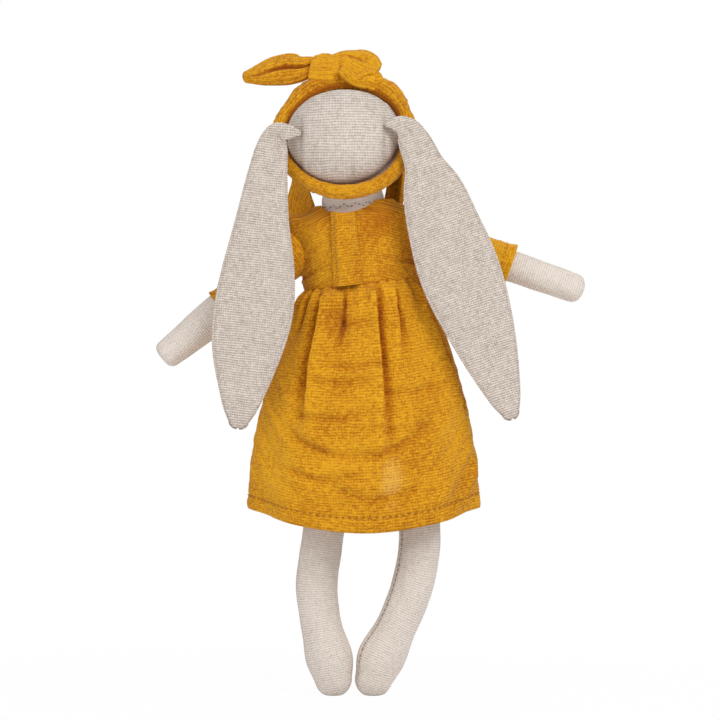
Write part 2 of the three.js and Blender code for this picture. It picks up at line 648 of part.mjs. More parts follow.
function sleeveStations() {
  const cap = 3;
  const capRadius = Math.sqrt((SHOULDER_RADIUS + GAP) ** 2 - cap ** 2);
  return [
    [0, cap, capRadius, capRadius],
    [0, 0, SHOULDER_RADIUS + GAP, SHOULDER_RADIUS + GAP],
    [0, -10, ARM_RADIUS + 0.6 + 2 * GAP, ARM_RADIUS + 0.6 + 2 * GAP],
    [0, -SLEEVE_LENGTH / 2, ARM_RADIUS + CUFF_EASE, ARM_RADIUS + CUFF_EASE],
    [0, -SLEEVE_LENGTH, ARM_RADIUS + CUFF_EASE, ARM_RADIUS + CUFF_EASE],
  ];
}

ARMS.forEach((arm) => {
  const shoulder = new THREE.Group();
  shoulder.position.copy(torso.localToWorld(shoulderPoint(arm)));
  shoulder.rotation.y = -arm.sign * THREE.MathUtils.degToRad(90 - arm.droop);
  shoulder.name = `shoulder_${arm.side}`;
  doll.add(shoulder);
  const shape = { steps: 4, sides: 12, domes: [SHOULDER_RADIUS, HAND_DOME] };
  const mouth = cylinderSolid(
    HOLE_RADIUS,
    new THREE.Vector3(0, 0, SHOULDER_RADIUS / 2),
    new THREE.Vector3(0, 0, 2 * SHOULDER_RADIUS),
  );
  const skin = form(ARM_STATIONS, shape).subtract(form(ARM_STATIONS, { ...shape, inset: LINEN })).subtract(mouth);
  shoulder.add(piece(`arm_${arm.side}_skin`, toGeometry(skin), linen));
  const stuffing = form(ARM_STATIONS, { ...shape, inset: LINEN + GAP });
  shoulder.add(piece(`arm_${arm.side}_stuffing`, toGeometry(stuffing), wadding));
  const sleeveShape = { steps: 8, sides: 12 };
  const sleeve = form(sleeveStations(), { ...sleeveShape, inset: -MUSLIN })
    .subtract(form(sleeveStations(), { ...sleeveShape, runs: [5, 5] }));
  shoulder.add(piece(`sleeve_${arm.side}`, toGeometry(sleeve), muslin));
});

// Legs, in frames at the hip seam; the round ends of the feet are cut flat to stand on
LEGS.forEach((leg) => {
  const hip = new THREE.Group();
  hip.position.copy(torso.localToWorld(new THREE.Vector3(HIP_SHIFT, 0, HIP_SEAM)));
  hip.position.x += leg.sign * LEG_APART;
  hip.position.z -= TORSO_DOMES[0] + GAP + LEG_TOP_HALF_DEPTH;
  hip.name = `hip_${leg.side}`;
  doll.add(hip);
  const length = hip.position.z + SOLE_CUT;
  const stations = [
    [0, 0, LEG_RADIUS - 1, LEG_TOP_HALF_DEPTH],
    [leg.thigh * 0.4, -length * 0.16, LEG_RADIUS - 0.3, LEG_RADIUS * 0.75],
    [leg.thigh, -length * 0.45, LEG_RADIUS, LEG_RADIUS],
    [leg.knee, -length * 0.62, LEG_RADIUS, LEG_RADIUS],
    [leg.shin, -length * 0.77, LEG_RADIUS, LEG_RADIUS],
    [leg.toe, -length + FOOT_DOME, LEG_RADIUS * 0.93, LEG_RADIUS * FOOT_SPREAD],
  ];
  const shape = { steps: 8, sides: 12, domes: [LEG_TOP_HALF_DEPTH, FOOT_DOME] };
  const aboveFloor = boxSolid([-FAR, -FAR, -hip.position.z], [FAR, FAR, FAR]);
  const aboveSole = boxSolid([-FAR, -FAR, LINEN - hip.position.z], [FAR, FAR, FAR]);
  const aboveLining = boxSolid([-FAR, -FAR, LINEN + GAP - hip.position.z], [FAR, FAR, FAR]);
  const mouth = cylinderSolid(
    LEG_TOP_HALF_DEPTH / 2,
    new THREE.Vector3(0, 0, 0),
    new THREE.Vector3(0, 0, 3 * LEG_TOP_HALF_DEPTH),
  );
  const skin = form(stations, shape).intersect(aboveFloor)
    .subtract(form(stations, { ...shape, inset: LINEN }).intersect(aboveSole))
    .subtract(mouth);
  hip.add(piece(`leg_${leg.side}_skin`, toGeometry(skin), linen));
  const stuffing = form(stations, { ...shape, inset: LINEN + GAP }).intersect(aboveLining);
  hip.add(piece(`leg_${leg.side}_stuffing`, toGeometry(stuffing), wadding));
});

// The origin is under the middle of the doll, on the floor
doll.updateMatrixWorld(true);
const extent = new THREE.Box3().setFromObject(doll, true);
const middle = extent.getCenter(new THREE.Vector3());
doll.position.set(-middle.x, -middle.y, -extent.min.z);

export default doll;
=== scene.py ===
"""A linen rag-doll bunny in a muslin dress: every sewn piece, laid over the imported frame."""
import functools
import json
import math

import bmesh
import bpy
from mathutils import Matrix, Vector, noise


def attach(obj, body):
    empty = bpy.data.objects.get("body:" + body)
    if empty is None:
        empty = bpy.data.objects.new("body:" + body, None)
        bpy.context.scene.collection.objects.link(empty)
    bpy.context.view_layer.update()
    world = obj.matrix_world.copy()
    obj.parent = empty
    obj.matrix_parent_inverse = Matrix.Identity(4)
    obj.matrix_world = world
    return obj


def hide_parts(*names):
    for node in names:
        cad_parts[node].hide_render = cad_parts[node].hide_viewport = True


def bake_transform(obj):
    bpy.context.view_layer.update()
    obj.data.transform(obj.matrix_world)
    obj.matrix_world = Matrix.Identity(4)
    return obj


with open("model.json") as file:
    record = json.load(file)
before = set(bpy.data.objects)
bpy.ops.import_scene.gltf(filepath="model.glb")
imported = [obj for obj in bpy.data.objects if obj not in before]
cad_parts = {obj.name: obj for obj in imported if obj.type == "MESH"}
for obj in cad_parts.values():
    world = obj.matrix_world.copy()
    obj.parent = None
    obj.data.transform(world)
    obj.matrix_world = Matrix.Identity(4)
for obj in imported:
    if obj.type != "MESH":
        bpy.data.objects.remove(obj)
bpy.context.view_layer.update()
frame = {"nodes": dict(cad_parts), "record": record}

bl_info = {
    "name": "Linen Bunny",
    "version": (1, 0, 0),
    "blender": (4, 5, 0),
    "location": "View3D > Sidebar > Bunny",
    "description": "Sews the linen skin, the muslin dress and the stitching over the bunny's frame",
    "category": "Add Mesh",
}

# Lengths in the script are millimetres, and meshes are metres
MM = 0.001
JOINTS = {joint["name"]: joint for joint in frame["record"]["behaviour"]["joints"]}
FORWARD = Vector((0, 1, 0))
UP = Vector((0, 0, 1))
SIDES = (("left", -1), ("right", 1))

# Cloth
LINEN = 1.0
MUSLIN = 1.0
MUSLIN_SHEET = MUSLIN * 0.8      # thickness of a single layer of the dress
FRILL_SHEET = MUSLIN * 0.7
EAR_SHEET = 0.7
GAP = 0.3
SKIN_INSET = 0.3                 # room that a skin leaves for its swelling

# Torso, measured up from the waist
LEAN = math.radians(6)
HIP_SEAM = -53
BELLY_HEIGHT = -30
NECK_HEIGHT = 43
SHOULDER_HEIGHT = NECK_HEIGHT - 9
CHEST_HEIGHT = NECK_HEIGHT - 24
BELLY_HALF_WIDTH = 27.5
WAIST_HALF_WIDTH = 25.5
CHEST_HALF_WIDTH = 26.5
NECK_HALF_WIDTH = 15.5
NECK_HALF_DEPTH = 11
DEPTH_RATIO = 0.6
HIP_SHIFT = (HIP_SEAM - BELLY_HEIGHT) * math.tan(LEAN)
TORSO_STATIONS = (
    (HIP_SHIFT, HIP_SEAM, 25, 4),
    (0, BELLY_HEIGHT, BELLY_HALF_WIDTH, BELLY_HALF_WIDTH * DEPTH_RATIO),
    (0, 0, WAIST_HALF_WIDTH, WAIST_HALF_WIDTH * DEPTH_RATIO),
    (0, CHEST_HEIGHT, CHEST_HALF_WIDTH, CHEST_HALF_WIDTH * DEPTH_RATIO),
    (0, SHOULDER_HEIGHT, CHEST_HALF_WIDTH - 2, CHEST_HALF_WIDTH * DEPTH_RATIO - 3),
    (0, NECK_HEIGHT - 2, NECK_HALF_WIDTH, NECK_HALF_DEPTH - 1),
    (0, NECK_HEIGHT, NECK_HALF_WIDTH, NECK_HALF_DEPTH),
)

# Head, a form turned about the axis of the snout
HEAD_RADIUS = 27.4
HEAD_BACK = 25.6
SNOUT_LENGTH = 38
CHEEK_PULL = 44
SNOUT_PULL = 16
FACE_FLATTENING = 0.15
CHIN_FLATTENING = 0.34
CROWN_FLATTENING = 0.22
BAND_SEAT = 3.15
BACK_SHARE = 0.42                # shares of the rows from the back of the head: where its round back ends,
SEAT_SHARE = 0.47                # and where the seat of the band ends
PANEL_EDGES = (-20.4, 19.7)      # seams at both sides of the panel on the back of the head
PANEL_DART = 4.7                 # a short dart at the bottom of that panel
PANEL_TOP_FADE = (5, 11)         # heights between which the seams run out under the band
HEAD_STRETCH = 1.16              # the stuffed head stretches its linen
BAND_SHADE = 3                   # painted shadow: the linen is darkest beside the band

# Ears
EAR_LENGTH = {"left": 142, "right": 147.8}
EAR_SAG = {"left": 2.0, "right": 3.0}
EAR_HALF_WIDTH = {"left": 18.8, "right": 19.2}
EAR_HALF_DEPTH = 2.6
EAR_SLOPE = math.radians(3)
EAR_HANG = {"left": math.radians(6.6), "right": math.radians(19.1)}
EAR_STEP_OUT = {"left": 6.0, "right": 5.1}
EAR_FULLEST = {"left": 0.56, "right": 0.45}
EAR_TIP_FULLNESS = {"left": 1.07, "right": 0.93}

# Arms and legs
ARM_LENGTH = {"left": 75.2, "right": 76.5}
ARM_RADIUS = 7.8
WRIST_FULLNESS = {"left": 1.6, "right": 0.2}
UPPER_ARM = 10                   # down from the shoulder to the place where the arm is slim
UPPER_ARM_RADIUS = ARM_RADIUS + 0.6
SHOULDER_RADIUS = 10
ARMHOLE_RADIUS = SHOULDER_RADIUS - 0.6
ARM_DROOP = {"left": math.radians(38.8), "right": math.radians(19)}
HAND_SQUARENESS = {"left": 3.2, "right": 2.3}
LEG_RADIUS = 10.3
LEG_TOP_HALF_DEPTH = 3.6
FOOT_DOME = 9
FOOT_SPREAD = 1.13
SOLE_CUT = 1.4
LEG_BENDS = {"left": (-9.2, -11.9, -9.0, -5.7, -3.9), "right": (11.6, 7.4, -1.0, -7.4, -10.8)}

# Dress
NECKLINE = NECK_HEIGHT - 3.5
NECKLINE_CENTRE = NECKLINE + 6   # the opening is half of an ellipse about this height
NECKLINE_HALF_WIDTH = 15
NECKLINE_RISE = 9
NECKLINE_SHIFT = -4.4            # the bottom of the neck opening has slipped to the left
WAIST_SEAM = 1.8                 # the skirt is sewn on a little over the narrowest place
WAIST_EASE = 1.0
FLAP_LEFT = -13.6
FLAP_HINGE = 0.6
FLAP_UPRIGHT = 0.06              # the free edge hangs straight though the doll leans
FLAP_TOPSTITCH = 0.86            # shares across the flap: its row of stitches by the free edge,
FLAP_SEWN_STITCH = 0.04          # and the row by the sewn edge
FLAP_FOLD = 3.4                  # the strip beside the sewn edge where the flap would bend as it opens, passed on but not bent here
SLEEVE_LENGTH = {"left": 43.6, "right": 45.2}
CUFF_EASE = 1.2
CUFF_HEM = 5                     # from the edge of the cuff to its row of stitches
SKIRT_LENGTH = 110
SKIRT_DIP = 11
HEM_HALF_WIDTH = 54.8
HEM_HALF_DEPTH = 35
HEM_ALLOWANCE = 6.8
HEM_LENGTH = 2 * math.pi * math.sqrt((HEM_HALF_WIDTH ** 2 + HEM_HALF_DEPTH ** 2) / 2)
FRILL_SIDE_HEIGHT = 26
FRILL_FRONT_HEIGHT = 16
FRILL_SIDE_LIFT = math.radians(75)
FRILL_FRONT_LIFT = math.radians(-48)
FRILL_DRAWN_IN = 0.18
FRILL_FLUTES = 9
FRILL_GATHERS = 31
FRILL_CLOTH = (120, 22)          # run and height of the weave on the frill

# Headband and bow
BAND_HALF_HEIGHT = 3.1
BAND_HALF_WIDTH = 4.2
BAND_RADIUS = HEAD_RADIUS + GAP + BAND_HALF_HEIGHT
BAND_SPREAD = 0.04
BAND_SWAY = 2.4
BAND_SAG = 0.8
BAND_RISE = 3.8
BAND_TUBE_RADIUS = 3.6           # of the round tube that the casing's cloth makes
BOW_TURN = math.radians(87)      # where round the band the bow is tied
BOW_PULL = (math.radians(30), math.radians(64))      # turns from the bow over which it pulls the band up
BOW_OFFSET = -10.8
KNOT_HALF_WIDTH = 6.3
KNOT_HALF_HEIGHT = 9.0
KNOT_HALF_DEPTH = 6.5
KNOT_RISE = 4.8


def srgb(red, green, blue):
    """A colour as a screen shows it, in the linear values that shaders use."""
    def linear(value):
        share = value / 255
        return share / 12.92 if share <= 0.04045 else ((share + 0.055) / 1.055) ** 2.4
    return (linear(red), linear(green), linear(blue))


def colour_setting(name, description, default):
    return bpy.props.FloatVectorProperty(
        name=name, description=description, subtype="COLOR", size=3, min=0, max=1, default=default)


def length_setting(name, description, default, least):
    return bpy.props.FloatProperty(
        name=name, description=description, unit="LENGTH", default=default, min=least)


class BunnyCloth(bpy.types.PropertyGroup):
    """Colours and threads of the cloths."""
    linen_colour: colour_setting("Linen", "Colour of the linen skin", srgb(236, 225, 215))
    linen_shade: colour_setting("Linen gaps", "Colour between the linen threads", srgb(142, 123, 109))
    muslin_colour: colour_setting("Muslin", "Colour of the muslin dress", srgb(236, 172, 30))
    muslin_shade: colour_setting("Muslin gaps", "Colour between the muslin threads", srgb(170, 94, 4))
    thread_colour: colour_setting("Embroidery", "Colour of the face's thread", srgb(62, 52, 48))
    sewing_colour: colour_setting("Sewing thread", "Colour of the dress's stitches", srgb(172, 108, 30))
    linen_pitch: length_setting(
        "Linen thread pitch", "Distance from thread to thread in the linen", 1.12 * MM, 0.2 * MM)
    muslin_pitch: length_setting(
        "Muslin thread pitch", "Distance from thread to thread in the muslin", 1.3 * MM, 0.2 * MM)


class BunnySewing(bpy.types.PropertyGroup):
    """Seams, stitches and folds."""
    stitch_pitch: length_setting("Stitch pitch", "Distance from stitch to stitch", 2.7 * MM, 1 * MM)
    seam_depth: length_setting("Seam depth", "How far a seam pulls the stuffed skin in", 0.7 * MM, 0)
    crinkle: length_setting("Crinkle", "Height of the muslin's crinkles", 0.4 * MM, 0)
    pressure: bpy.props.FloatProperty(
        name="Stuffing pressure", description="Pressure that fills the stuffed skins", default=4.0, min=0)


class BunnyStage(bpy.types.PropertyGroup):
    """Camera, floor and light."""
    camera_distance: length_setting("Camera distance", "From the camera to the doll's middle plane", 1.5, 0.3)
    picture_width: length_setting(
        "Picture width", "Width of the picture at the doll's middle plane", 0.3456, 0.05)
    key_power: bpy.props.FloatProperty(
        name="Key light", description="Power of the soft key light", subtype="POWER", default=8.0, min=0)
    sky_strength: bpy.props.FloatProperty(
        name="Sky light", description="Strength of the even light from all round", default=0.42, min=0)


def cloth_settings():
    return bpy.context.scene.bunny_cloth


def sewing_settings():
    return bpy.context.scene.bunny_sewing


def stage_settings():
    return bpy.context.scene.bunny_stage


def seam_depth():
    return sewing_settings().seam_depth / MM


def crinkle_height():
    return sewing_settings().crinkle / MM


# Small helpers for curves and cloth

def mix(start, end, share):
    return start + (end - start) * share


def ease(low, high, value):
    share = min(1, max(0, (value - low) / (high - low)))
    return share * share * (3 - 2 * share)


def hump(value, middle, width):
    return math.exp(-((value - middle) / width) ** 2)


def ripple(x, y, seed):
    return noise.noise(Vector((x, y, seed)))


def turn_between(angle, other):
    return (angle - other + math.pi) % (2 * math.pi) - math.pi


def axes_at(origin, x_axis, y_axis):
    z_axis = x_axis.cross(y_axis)
    turn = Matrix((x_axis, y_axis, z_axis)).transposed().to_4x4()
    return Matrix.Translation(origin) @ turn


def joint_point(name):
    return Vector(JOINTS[name]["pos_m"]) / MM


def joint_axis(name):
    return Vector(JOINTS[name]["axis"]).normalized()


# Frames of the pieces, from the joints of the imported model
TORSO_AT_NECK = axes_at(joint_point("head_nod"), -joint_axis("head_nod"), FORWARD)
TORSO = TORSO_AT_NECK @ Matrix.Translation((0, 0, -NECK_HEIGHT))
WAIST = Matrix.Translation(TORSO.translation)
SNOUT = joint_axis("headband_turn")
HEAD = axes_at(joint_point("headband_turn"), SNOUT.cross(UP).normalized(), SNOUT)
BOW = HEAD @ Matrix.Translation((BOW_OFFSET, 0, BAND_RADIUS + BAND_HALF_HEIGHT + KNOT_RISE))


def ear_frame(side, sign):
    tilt = Matrix.Rotation(-EAR_SLOPE, 4, "X") @ Matrix.Rotation(-sign * EAR_HANG[side], 4, "Y")
    return Matrix.Translation(joint_point(f"ear_{side}_lift") - UP * EAR_SAG[side]) @ tilt


def arm_frame(side, sign):
    turn = Matrix.Rotation(-sign * (math.pi / 2 - ARM_DROOP[side]), 4, "Y")
    return Matrix.Translation(joint_point(f"arm_{side}_swing")) @ turn


def leg_frame(side):
    return Matrix.Translation(joint_point(f"leg_{side}_swing"))


@functools.lru_cache(maxsize=None)
def knots_of(stations):
    knots = [0.0]
    for first, second in zip(stations, stations[1:]):
        knots.append(knots[-1] + math.hypot(second[0] - first[0], second[1] - first[1]))
    return tuple(knots)


@functools.lru_cache(maxsize=None)
def station_at(stations, run):
    """x, z, half width and half depth at a run along a smooth curve through the stations."""
    knots = knots_of(stations)
    last = len(stations) - 1
    index = max(i for i in range(last) if i == 0 or knots[i] <= run)
    span = knots[index + 1] - knots[index]
    share = (run - knots[index]) / span

    def slope(i, part):
        before = (stations[i][part] - stations[i - 1][part]) / (knots[i] - knots[i - 1]) if i > 0 else None
        after = (stations[i + 1][part] - stations[i][part]) / (knots[i + 1] - knots[i]) if i < last else None
        if before is None:
            return after
        if after is None:
            return before
        back, ahead = knots[i] - knots[i - 1], knots[i + 1] - knots[i]
        return (before * ahead + after * back) / (back + ahead)

    def value(part):
        start, end = stations[index][part], stations[index + 1][part]
        leave, arrive = slope(index, part) * span, slope(index + 1, part) * span
        bend = share * share * (3 - 2 * share)
        out = share * (1 - share) ** 2
        home = share * share * (share - 1)
        return mix(start, end, bend) + leave * out + arrive * home

    return tuple(value(part) for part in range(4))


@functools.lru_cache(maxsize=None)
def direction_at(stations, run):
    step = 0.5
    length = knots_of(stations)[-1]
    low = station_at(stations, max(0, run - step))
    high = station_at(stations, min(length, run + step))
    return Vector((high[0] - low[0], 0, high[1] - low[1])).normalized()


# Making of meshes

def cloth_grid(name, columns, rows, place, inside=None, pale=0.0, painted_shading=None):
    """A cloth from a flat grid. place(u, v) gives a point, its spot on the cloth, and how near a seam it is,
    a value that some pieces also use for painted shade. pale adds painted light or shade to the whole cloth,
    and the function after it adds painted light and shade by the place of each point."""
    grid = bmesh.new()
    bmesh.ops.create_grid(grid, x_segments=columns, y_segments=rows, size=0.5)
    flat = grid.loops.layers.uv.new("cloth")
    seam = grid.verts.layers.float.new("seam")
    # pale: painted light, above 0, or painted shade, below 0, of the piece and of places on it
    tone = grid.verts.layers.float.new("pale")
    spots = {}
    for vert in grid.verts:
        point, spots[vert], vert[seam] = place(vert.co.x + 0.5, vert.co.y + 0.5)
        vert.co = point * MM
        vert[tone] = pale + (painted_shading(point) if painted_shading else 0.0)
    for face in grid.faces:
        face.smooth = True
        for loop in face.loops:
            loop[flat].uv = spots[loop.vert]
    bmesh.ops.remove_doubles(grid, verts=grid.verts, dist=0.001 * MM)
    bmesh.ops.recalc_face_normals(grid, faces=grid.faces)
    if inside is not None:
        middle = inside * MM
        facing = sum(face.normal.dot(face.calc_center_median() - middle) for face in grid.faces)
        if facing < 0:
            bmesh.ops.reverse_faces(grid, faces=grid.faces)
    return object_from(grid, name)


def object_from(grid, name):
    mesh = bpy.data.meshes.new(name)
    grid.to_mesh(mesh)
    grid.free()
    piece = bpy.data.objects.new(name, mesh)
    bpy.context.scene.collection.objects.link(piece)
    return piece


def thicken(piece, thickness):
    solid = piece.modifiers.new("cloth thickness", "SOLIDIFY")
    solid.thickness = thickness * MM
    solid.offset = -1
    return piece


def soften(piece):
    smooth = piece.modifiers.new("soft cloth", "SUBSURF")
    smooth.levels = 1
    smooth.render_levels = 1
    return piece


def dress(piece, material, slot, body, *nodes):
    """Gives a piece its cloth and the body that it moves with; its slot is not used."""
    piece.data.materials.append(material)
    if nodes:
        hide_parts(*nodes)
    if body:
        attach(piece, body)
    return piece


def sheet_of(piece, cloth, body, node, thickness, bend=(), **cut):
    """Makes a piece a sheet of cloth that moves with its body; where bend is given, the piece's placement is
    only baked into its mesh.
    """
    if thickness:
        thicken(piece, thickness)
    dress(piece, material(cloth), cloth, body, node)
    if bend:
        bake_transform(piece)


def swell(piece, cap):
    """Fills a sewn skin: cloth under pressure, held at its seams, with each point's movement capped."""
    held = piece.vertex_groups.new(name="seams")
    for vert in piece.data.vertices:
        nearness = piece.data.attributes["seam"].data[vert.index].value
        held.add([vert.index], min(1, nearness), "REPLACE")
    cloth = piece.modifiers.new("stuffing", "CLOTH")
    cloth.settings.use_pressure = True
    cloth.settings.uniform_pressure_force = sewing_settings().pressure
    cloth.settings.vertex_group_mass = held.name
    cloth.settings.effector_weights.gravity = 0
    cloth.settings.mass = 0.02
    cloth.collision_settings.use_collision = False
    cloth.point_cache.frame_start = 1
    cloth.point_cache.frame_end = 20
    scene = bpy.context.scene
    for number in range(1, 21):
        scene.frame_set(number)
    filled = piece.evaluated_get(bpy.context.evaluated_depsgraph_get())
    moves = [new.co - old.co for new, old in zip(filled.data.vertices, piece.data.vertices)]
    for vert, move in zip(piece.data.vertices, moves):
        length = move.length
        if length > 0:
            vert.co += move * (min(length, cap * MM) / length)
    piece.modifiers.remove(cloth)
    piece.vertex_groups.remove(held)
    scene.frame_set(1)
    return piece


# Cloth finishes

def field_operator(operation, turned=False):
    """An arithmetic operator of a field; turned when the field stands behind the sign."""
    def operator(self, other):
        first, second = (other, self) if turned else (self, other)
        return self.math(operation, first, second)
    return operator


class Field:
    """A value over a surface; arithmetic on it adds Math nodes."""
    __add__ = field_operator("ADD")
    __radd__ = field_operator("ADD", turned=True)
    __sub__ = field_operator("SUBTRACT")
    __rsub__ = field_operator("SUBTRACT", turned=True)
    __mul__ = field_operator("MULTIPLY")
    __rmul__ = field_operator("MULTIPLY", turned=True)
    __truediv__ = field_operator("DIVIDE")

    def __init__(self, finish, socket):
        self.finish = finish
        self.socket = socket

    def math(self, operation, *values):
        node = self.finish.node("ShaderNodeMath", {"operation": operation}, dict(enumerate(values)))
        return Field(self.finish, node.outputs[0])

    def sine(self):
        return self.math("SINE", self)

    def floor(self):
        return self.math("FLOOR", self)

    def absolute(self):
        return self.math("ABSOLUTE", self)

    def above(self, low, high):
        """0 below low, 1 above high, smooth between."""
        sockets = {"Value": self, "From Min": low, "From Max": high}
        node = self.finish.node("ShaderNodeMapRange", {"interpolation_type": "SMOOTHSTEP"}, sockets)
        return Field(self.finish, node.outputs["Result"])


class Finish:
    """A material while it is being made."""

    def __init__(self, name):
        self.material = bpy.data.materials.new(name)
        self.material.use_nodes = True
        self.nodes = self.material.node_tree.nodes
        self.links = self.material.node_tree.links
        self.shader = self.nodes["Principled BSDF"]

    def put(self, socket, value):
        if isinstance(value, Field):
            self.links.new(value.socket, socket)
        else:
            socket.default_value = value

    def node(self, kind, settings, sockets):
        made = self.nodes.new(kind)
        for name, value in settings.items():
            setattr(made, name, value)
        for name, value in sockets.items():
            self.put(made.inputs[name], value)
        return made

    def field(self, kind, output, settings=None, sockets=None):
        made = self.node(kind, settings or {}, sockets or {})
        return Field(self, made.outputs[output])

    def point(self, x, y, z=0.0):
        return self.field("ShaderNodeCombineXYZ", "Vector", {}, {"X": x, "Y": y, "Z": z})

    def cloud(self, vector, scale, detail=2.0):
        sockets = {"Vector": vector, "Scale": scale, "Detail": detail}
        return self.field("ShaderNodeTexNoise", "Fac", {}, sockets)

    def blend(self, share, first, second):
        sockets = {0: share, 6: first, 7: second}
        made = self.node("ShaderNodeMix", {"data_type": "RGBA"}, sockets)
        return Field(self, made.outputs[2])

    def cloth_map(self):
        spot = self.field("ShaderNodeUVMap", "UV", {"uv_map": "cloth"})
        split = self.node("ShaderNodeSeparateXYZ", {}, {"Vector": spot})
        return spot, Field(self, split.outputs["X"]), Field(self, split.outputs["Y"])

    def attribute(self, name):
        return self.field("ShaderNodeAttribute", "Fac", {"attribute_name": name})

    def surface(self, colour, roughness, **levels):
        """Colour and roughness of the shader, and its other levels, each by its name with underscores."""
        self.put(self.shader.inputs["Base Color"], colour)
        self.put(self.shader.inputs["Roughness"], roughness)
        for name, level in levels.items():
            self.put(self.shader.inputs[name.replace("_", " ")], level)

    def bump(self, height, distance, strength):
        sockets = {"Height": height, "Distance": distance * MM, "Strength": strength}
        self.put(self.shader.inputs["Normal"], self.field("ShaderNodeBump", "Normal", {}, sockets))


def opaque(colour):
    return (*colour, 1.0)


def woven(finish, pitch, wander):
    """A plain weave: crowns of its rows and columns, 0 to 1, and how unevenly their threads are spun."""
    spot, across, along = finish.cloth_map()
    sway = (finish.cloud(spot, 0.07) - 0.5) * wander
    row = (along + sway) / pitch
    column = (across + sway) / pitch + finish.cloud(finish.point(row.floor() * 3.1, across * 0.1), 1.0) * 2

    def spun(place, thread, seed):
        slow = finish.cloud(finish.point(place * 0.06, thread * 2.7, seed), 1.0)
        quick = finish.cloud(finish.point(place * 0.6, thread * 5.3, seed + 9), 1.0)
        return (slow - 0.5) * 0.5 + (quick - 0.5) * 1.7

    row_crown = (row * math.pi).sine().absolute()
    column_crown = (column * math.pi).sine().absolute()
    return row_crown, column_crown, spun(across, row.floor(), 0.0), spun(along, column.floor(), 31.0)


def linen_finish(name="linen weave"):
    settings = cloth_settings()
    finish = Finish(name)
    row, column, row_spin, column_spin = woven(finish, settings.linen_pitch / MM, 1.4)
    spot = finish.cloth_map()[0]
    patch = finish.cloud(spot, 0.11) - 0.5
    grain = finish.cloud(spot, 1.7) - 0.5
    light = 0.14 + 0.62 * row + 0.4 * column * (1 - row) + 0.32 * row_spin + 0.22 * column_spin
    # pale brings each piece's painted light or shade into the linen
    light = light + 0.14 * patch + 0.55 * grain + finish.attribute("pale")
    shade = opaque(settings.linen_shade)
    colour = finish.blend(light.above(-0.05, 0.98), shade, opaque(settings.linen_colour))
    # seam: darker along the seams, and painted shadow on the head beside the headband
    seam = finish.attribute("seam") * 0.3
    colour = finish.blend(seam, colour, shade)
    finish.surface(colour, 0.88 + row * 0.08, Specular_IOR_Level=0.2, Sheen_Weight=0.1)
    finish.bump(row * 0.6 + column * 0.25 + row_spin * 0.5 + column_spin * 0.3, 0.3, 0.6)
    return finish.material


def muslin_finish(name="double muslin"):
    settings = cloth_settings()
    finish = Finish(name)
    row, column, row_spin, column_spin = woven(finish, settings.muslin_pitch / MM, 2.2)
    spot, across, along = finish.cloth_map()
    crepe = finish.cloud(finish.point(across * 0.4, along * 1.1), 1.0, 3.0) - 0.5
    grain = finish.cloud(spot, 1.5) - 0.5
    fade = finish.cloud(spot, 0.035) - 0.5
    light = 0.15 + 0.54 * row + 0.34 * column * (1 - row) + 0.5 * row_spin + 0.35 * column_spin
    # pale brings each piece's painted light or shade into the muslin
    light = light + 1.0 * crepe + 1.2 * grain + 0.9 * fade + finish.attribute("pale")
    # seam: real wear, above 0, with painted light on the skirt's wrinkle ridges; painted shade in hollows,
    # below 0
    wear_and_painted_shade = finish.attribute("seam")
    light = light + 0.3 * wear_and_painted_shade
    shade = opaque(settings.muslin_shade)
    colour = finish.blend(light.above(-0.1, 1.05), shade, opaque(settings.muslin_colour))
    rubbed = wear_and_painted_shade.above(0.15, 1.0) * (0.02 + 0.2 * row + 0.9 * grain)
    colour = finish.blend(rubbed, colour, opaque(srgb(244, 206, 150)))
    finish.surface(colour, 0.86 + row * 0.1, Specular_IOR_Level=0.2, Sheen_Weight=0.08)
    finish.bump(row * 0.4 + row_spin * 0.4 + column_spin * 0.3 + crepe * 1.6 + grain * 0.8, 0.4, 0.65)
    return finish.material


def two_tones(finish, share, dark, light):
    return finish.blend(share, opaque(srgb(*dark)), opaque(srgb(*light)))


def wadding_finish(name="white wadding"):
    finish = Finish(name)
    spot = finish.cloth_map()[0]
    curl = finish.cloud(spot, 0.5, 6.0)
    colour = two_tones(finish, curl, (226, 222, 214), (250, 248, 244))
    finish.surface(colour, 0.9 + curl * 0.08)
    finish.bump(curl, 0.8, 0.7)
    return finish.material


def thread_finish(name, colour):
    """Twisted thread: fine slanting plies and a slight gloss."""
    finish = Finish(name)
    place = finish.field("ShaderNodeTexCoord", "Object")
    split = finish.node("ShaderNodeSeparateXYZ", {}, {"Vector": place})
    x, y, z = (Field(finish, split.outputs[axis]) for axis in "XYZ")
    slant = x + z + y
    ply = (slant * (math.pi / (0.35 * MM))).sine() * 0.5 + 0.5
    dark = tuple(part * 0.6 for part in colour)
    finish.surface(finish.blend(ply, opaque(dark), opaque(colour)), 0.5 + ply * 0.15)
    finish.bump(ply, 0.08, 0.5)
    return finish.material


def elastic_finish(name="ribbed elastic"):
    finish = Finish(name)
    _, across, _ = finish.cloth_map()
    rib = (across * (math.pi / 0.9)).sine().absolute()
    colour = two_tones(finish, rib, (196, 190, 180), (236, 232, 224))
    finish.surface(colour, 0.7 + rib * 0.15)
    finish.bump(rib, 0.2, 0.6)
    return finish.material


def snap_finish(name="pressed steel"):
    finish = Finish(name)
    place = finish.field("ShaderNodeTexCoord", "Object")
    wear = finish.cloud(place, 900.0, 3.0)
    colour = two_tones(finish, wear, (168, 170, 174), (208, 209, 212))
    finish.surface(colour, 0.28 + wear * 0.25, Metallic=1.0)
    return finish.material


